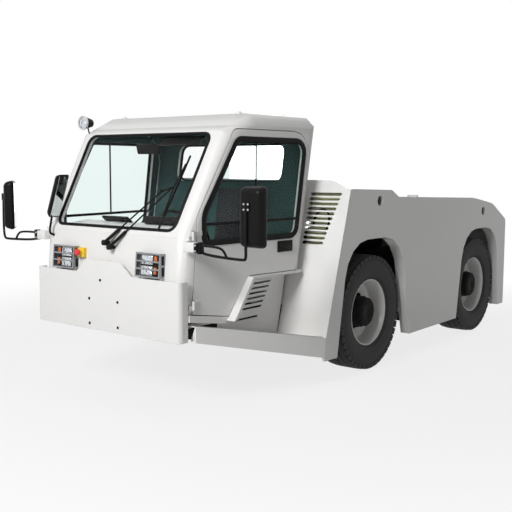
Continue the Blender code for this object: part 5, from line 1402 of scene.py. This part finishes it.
def floor_material():
    """Pale matt floor that keeps the shadow near the object and fades to white far away."""
    material, bsdf, tree = shader("floor", (0.62, 0.62, 0.62), 0.9)
    reach = node(tree, "ShaderNodeVectorMath", {0: own_place(tree)}, operation="LENGTH")
    limits = {"From Min": FADE_START, "From Max": FADE_END, "To Min": NEAR_WHITE, "To Max": 1.0}
    inputs = {"Value": reach.outputs["Value"], **limits}
    fade = node(tree, "ShaderNodeMapRange", inputs, interpolation_type="SMOOTHSTEP")
    share = maths(tree, "MULTIPLY", fade.outputs["Result"], seen_directly(tree))
    glow = node(tree, "ShaderNodeEmission", {"Color": (1, 1, 1, 1)}).outputs["Emission"]
    blend = node(tree, "ShaderNodeMixShader", {"Fac": share, 1: bsdf.outputs["BSDF"], 2: glow})
    feed(tree, tree.nodes["Material Output"], {"Surface": blend.outputs["Shader"]})
    return material


class TractorStage(bpy.types.Operator):
    """Pale floor, soft studio light and the camera"""

    bl_idname = "tractor.stage"
    bl_label = "Stage"
    floor_half = 60
    # name, place, aim, size, power
    lamps = (
        ("key", (1.6, -9.1, 5.4), (0, -1.0, 1.0), 2.4, 600.0),
        ("top", (0, 0.5, 9.0), (0, 0.5, 0), 7.0, 55.0),
        ("back", (-5.5, 9.5, 2.8), (0, 1.5, 0.8), 5.0, 300.0),
    )
    # camera solved from the photo: across, ahead of the front plate, and its axes
    camera_across = 4.726
    camera_ahead = 4.212
    camera_right = Vector((0.79082, 0.61204, 0.00347))
    camera_up = Vector((-0.06909, 0.08363, 0.99410))
    lens = 58.18
    sensor = 36.0
    far_clip = 200

    def execute(self, context):
        scene = context.scene
        scene.view_settings.view_transform = "Standard"
        scene.world = studio_world()
        self.floor(scene)
        for name, spot, aim, size, power in self.lamps:
            light = bpy.data.lights.new(name, "AREA")
            light.size = size
            light.energy = power
            lamp = bpy.data.objects.new(name, light)
            lamp.location = spot
            lamp.rotation_euler = (Vector(aim) - Vector(spot)).to_track_quat("-Z", "Y").to_euler()
            scene.collection.objects.link(lamp)
        self.camera(scene)
        return {"FINISHED"}

    def floor(self, scene):
        data = bmesh.new()
        bmesh.ops.create_grid(data, x_segments=1, y_segments=1, size=self.floor_half)
        mesh = bpy.data.meshes.new("floor")
        data.to_mesh(mesh)
        data.free()
        floor = bpy.data.objects.new("floor", mesh)
        scene.collection.objects.link(floor)
        mesh.materials.append(floor_material())

    def camera(self, scene):
        camera = bpy.data.cameras.new("camera")
        camera.lens = self.lens
        camera.sensor_width = self.sensor
        camera.clip_end = self.far_clip
        holder = bpy.data.objects.new("camera", camera)
        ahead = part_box("front_plate")[0][1] - self.camera_ahead
        spot = (self.camera_across, ahead, sizes().camera_height)
        back = self.camera_right.cross(self.camera_up)
        holder.matrix_world = placed(self.camera_right, self.camera_up, back, spot)
        scene.collection.objects.link(holder)
        scene.camera = holder


STEPS = (
    TractorStage,
    TractorPaint,
    TractorSeals,
    TractorWheels,
    TractorTyres,
    TractorFront,
    TractorDoors,
    TractorMirrors,
    TractorLining,
    TractorCabinet,
    TractorBodywork,
    TractorSeat,
)


class TractorPanel(bpy.types.Panel):
    """Lists the dressing steps"""

    bl_idname = "VIEW3D_PT_tractor"
    bl_label = "Pushback tractor"
    bl_space_type = "VIEW_3D"
    bl_region_type = "UI"
    bl_category = "Tractor"

    def draw(self, context):
        for step in STEPS:
            self.layout.operator(step.bl_idname)
        for group in (context.scene.tractor_colours, context.scene.tractor_sizes):
            column = self.layout.column()
            for name in group.__annotations__:
                column.prop(group, name)


CLASSES = (TractorColours, TractorSizes, *STEPS, TractorPanel)


def register():
    for item in CLASSES:
        bpy.utils.register_class(item)
    bpy.types.Scene.tractor_colours = PointerProperty(type=TractorColours)
    bpy.types.Scene.tractor_sizes = PointerProperty(type=TractorSizes)


def unregister():
    del bpy.types.Scene.tractor_colours
    del bpy.types.Scene.tractor_sizes
    for item in reversed(CLASSES):
        bpy.utils.unregister_class(item)


def main():
    register()
    for step in STEPS:
        group, name = step.bl_idname.split(".")
        getattr(getattr(bpy.ops, group), name)()


if __name__ == "__main__":
    main()
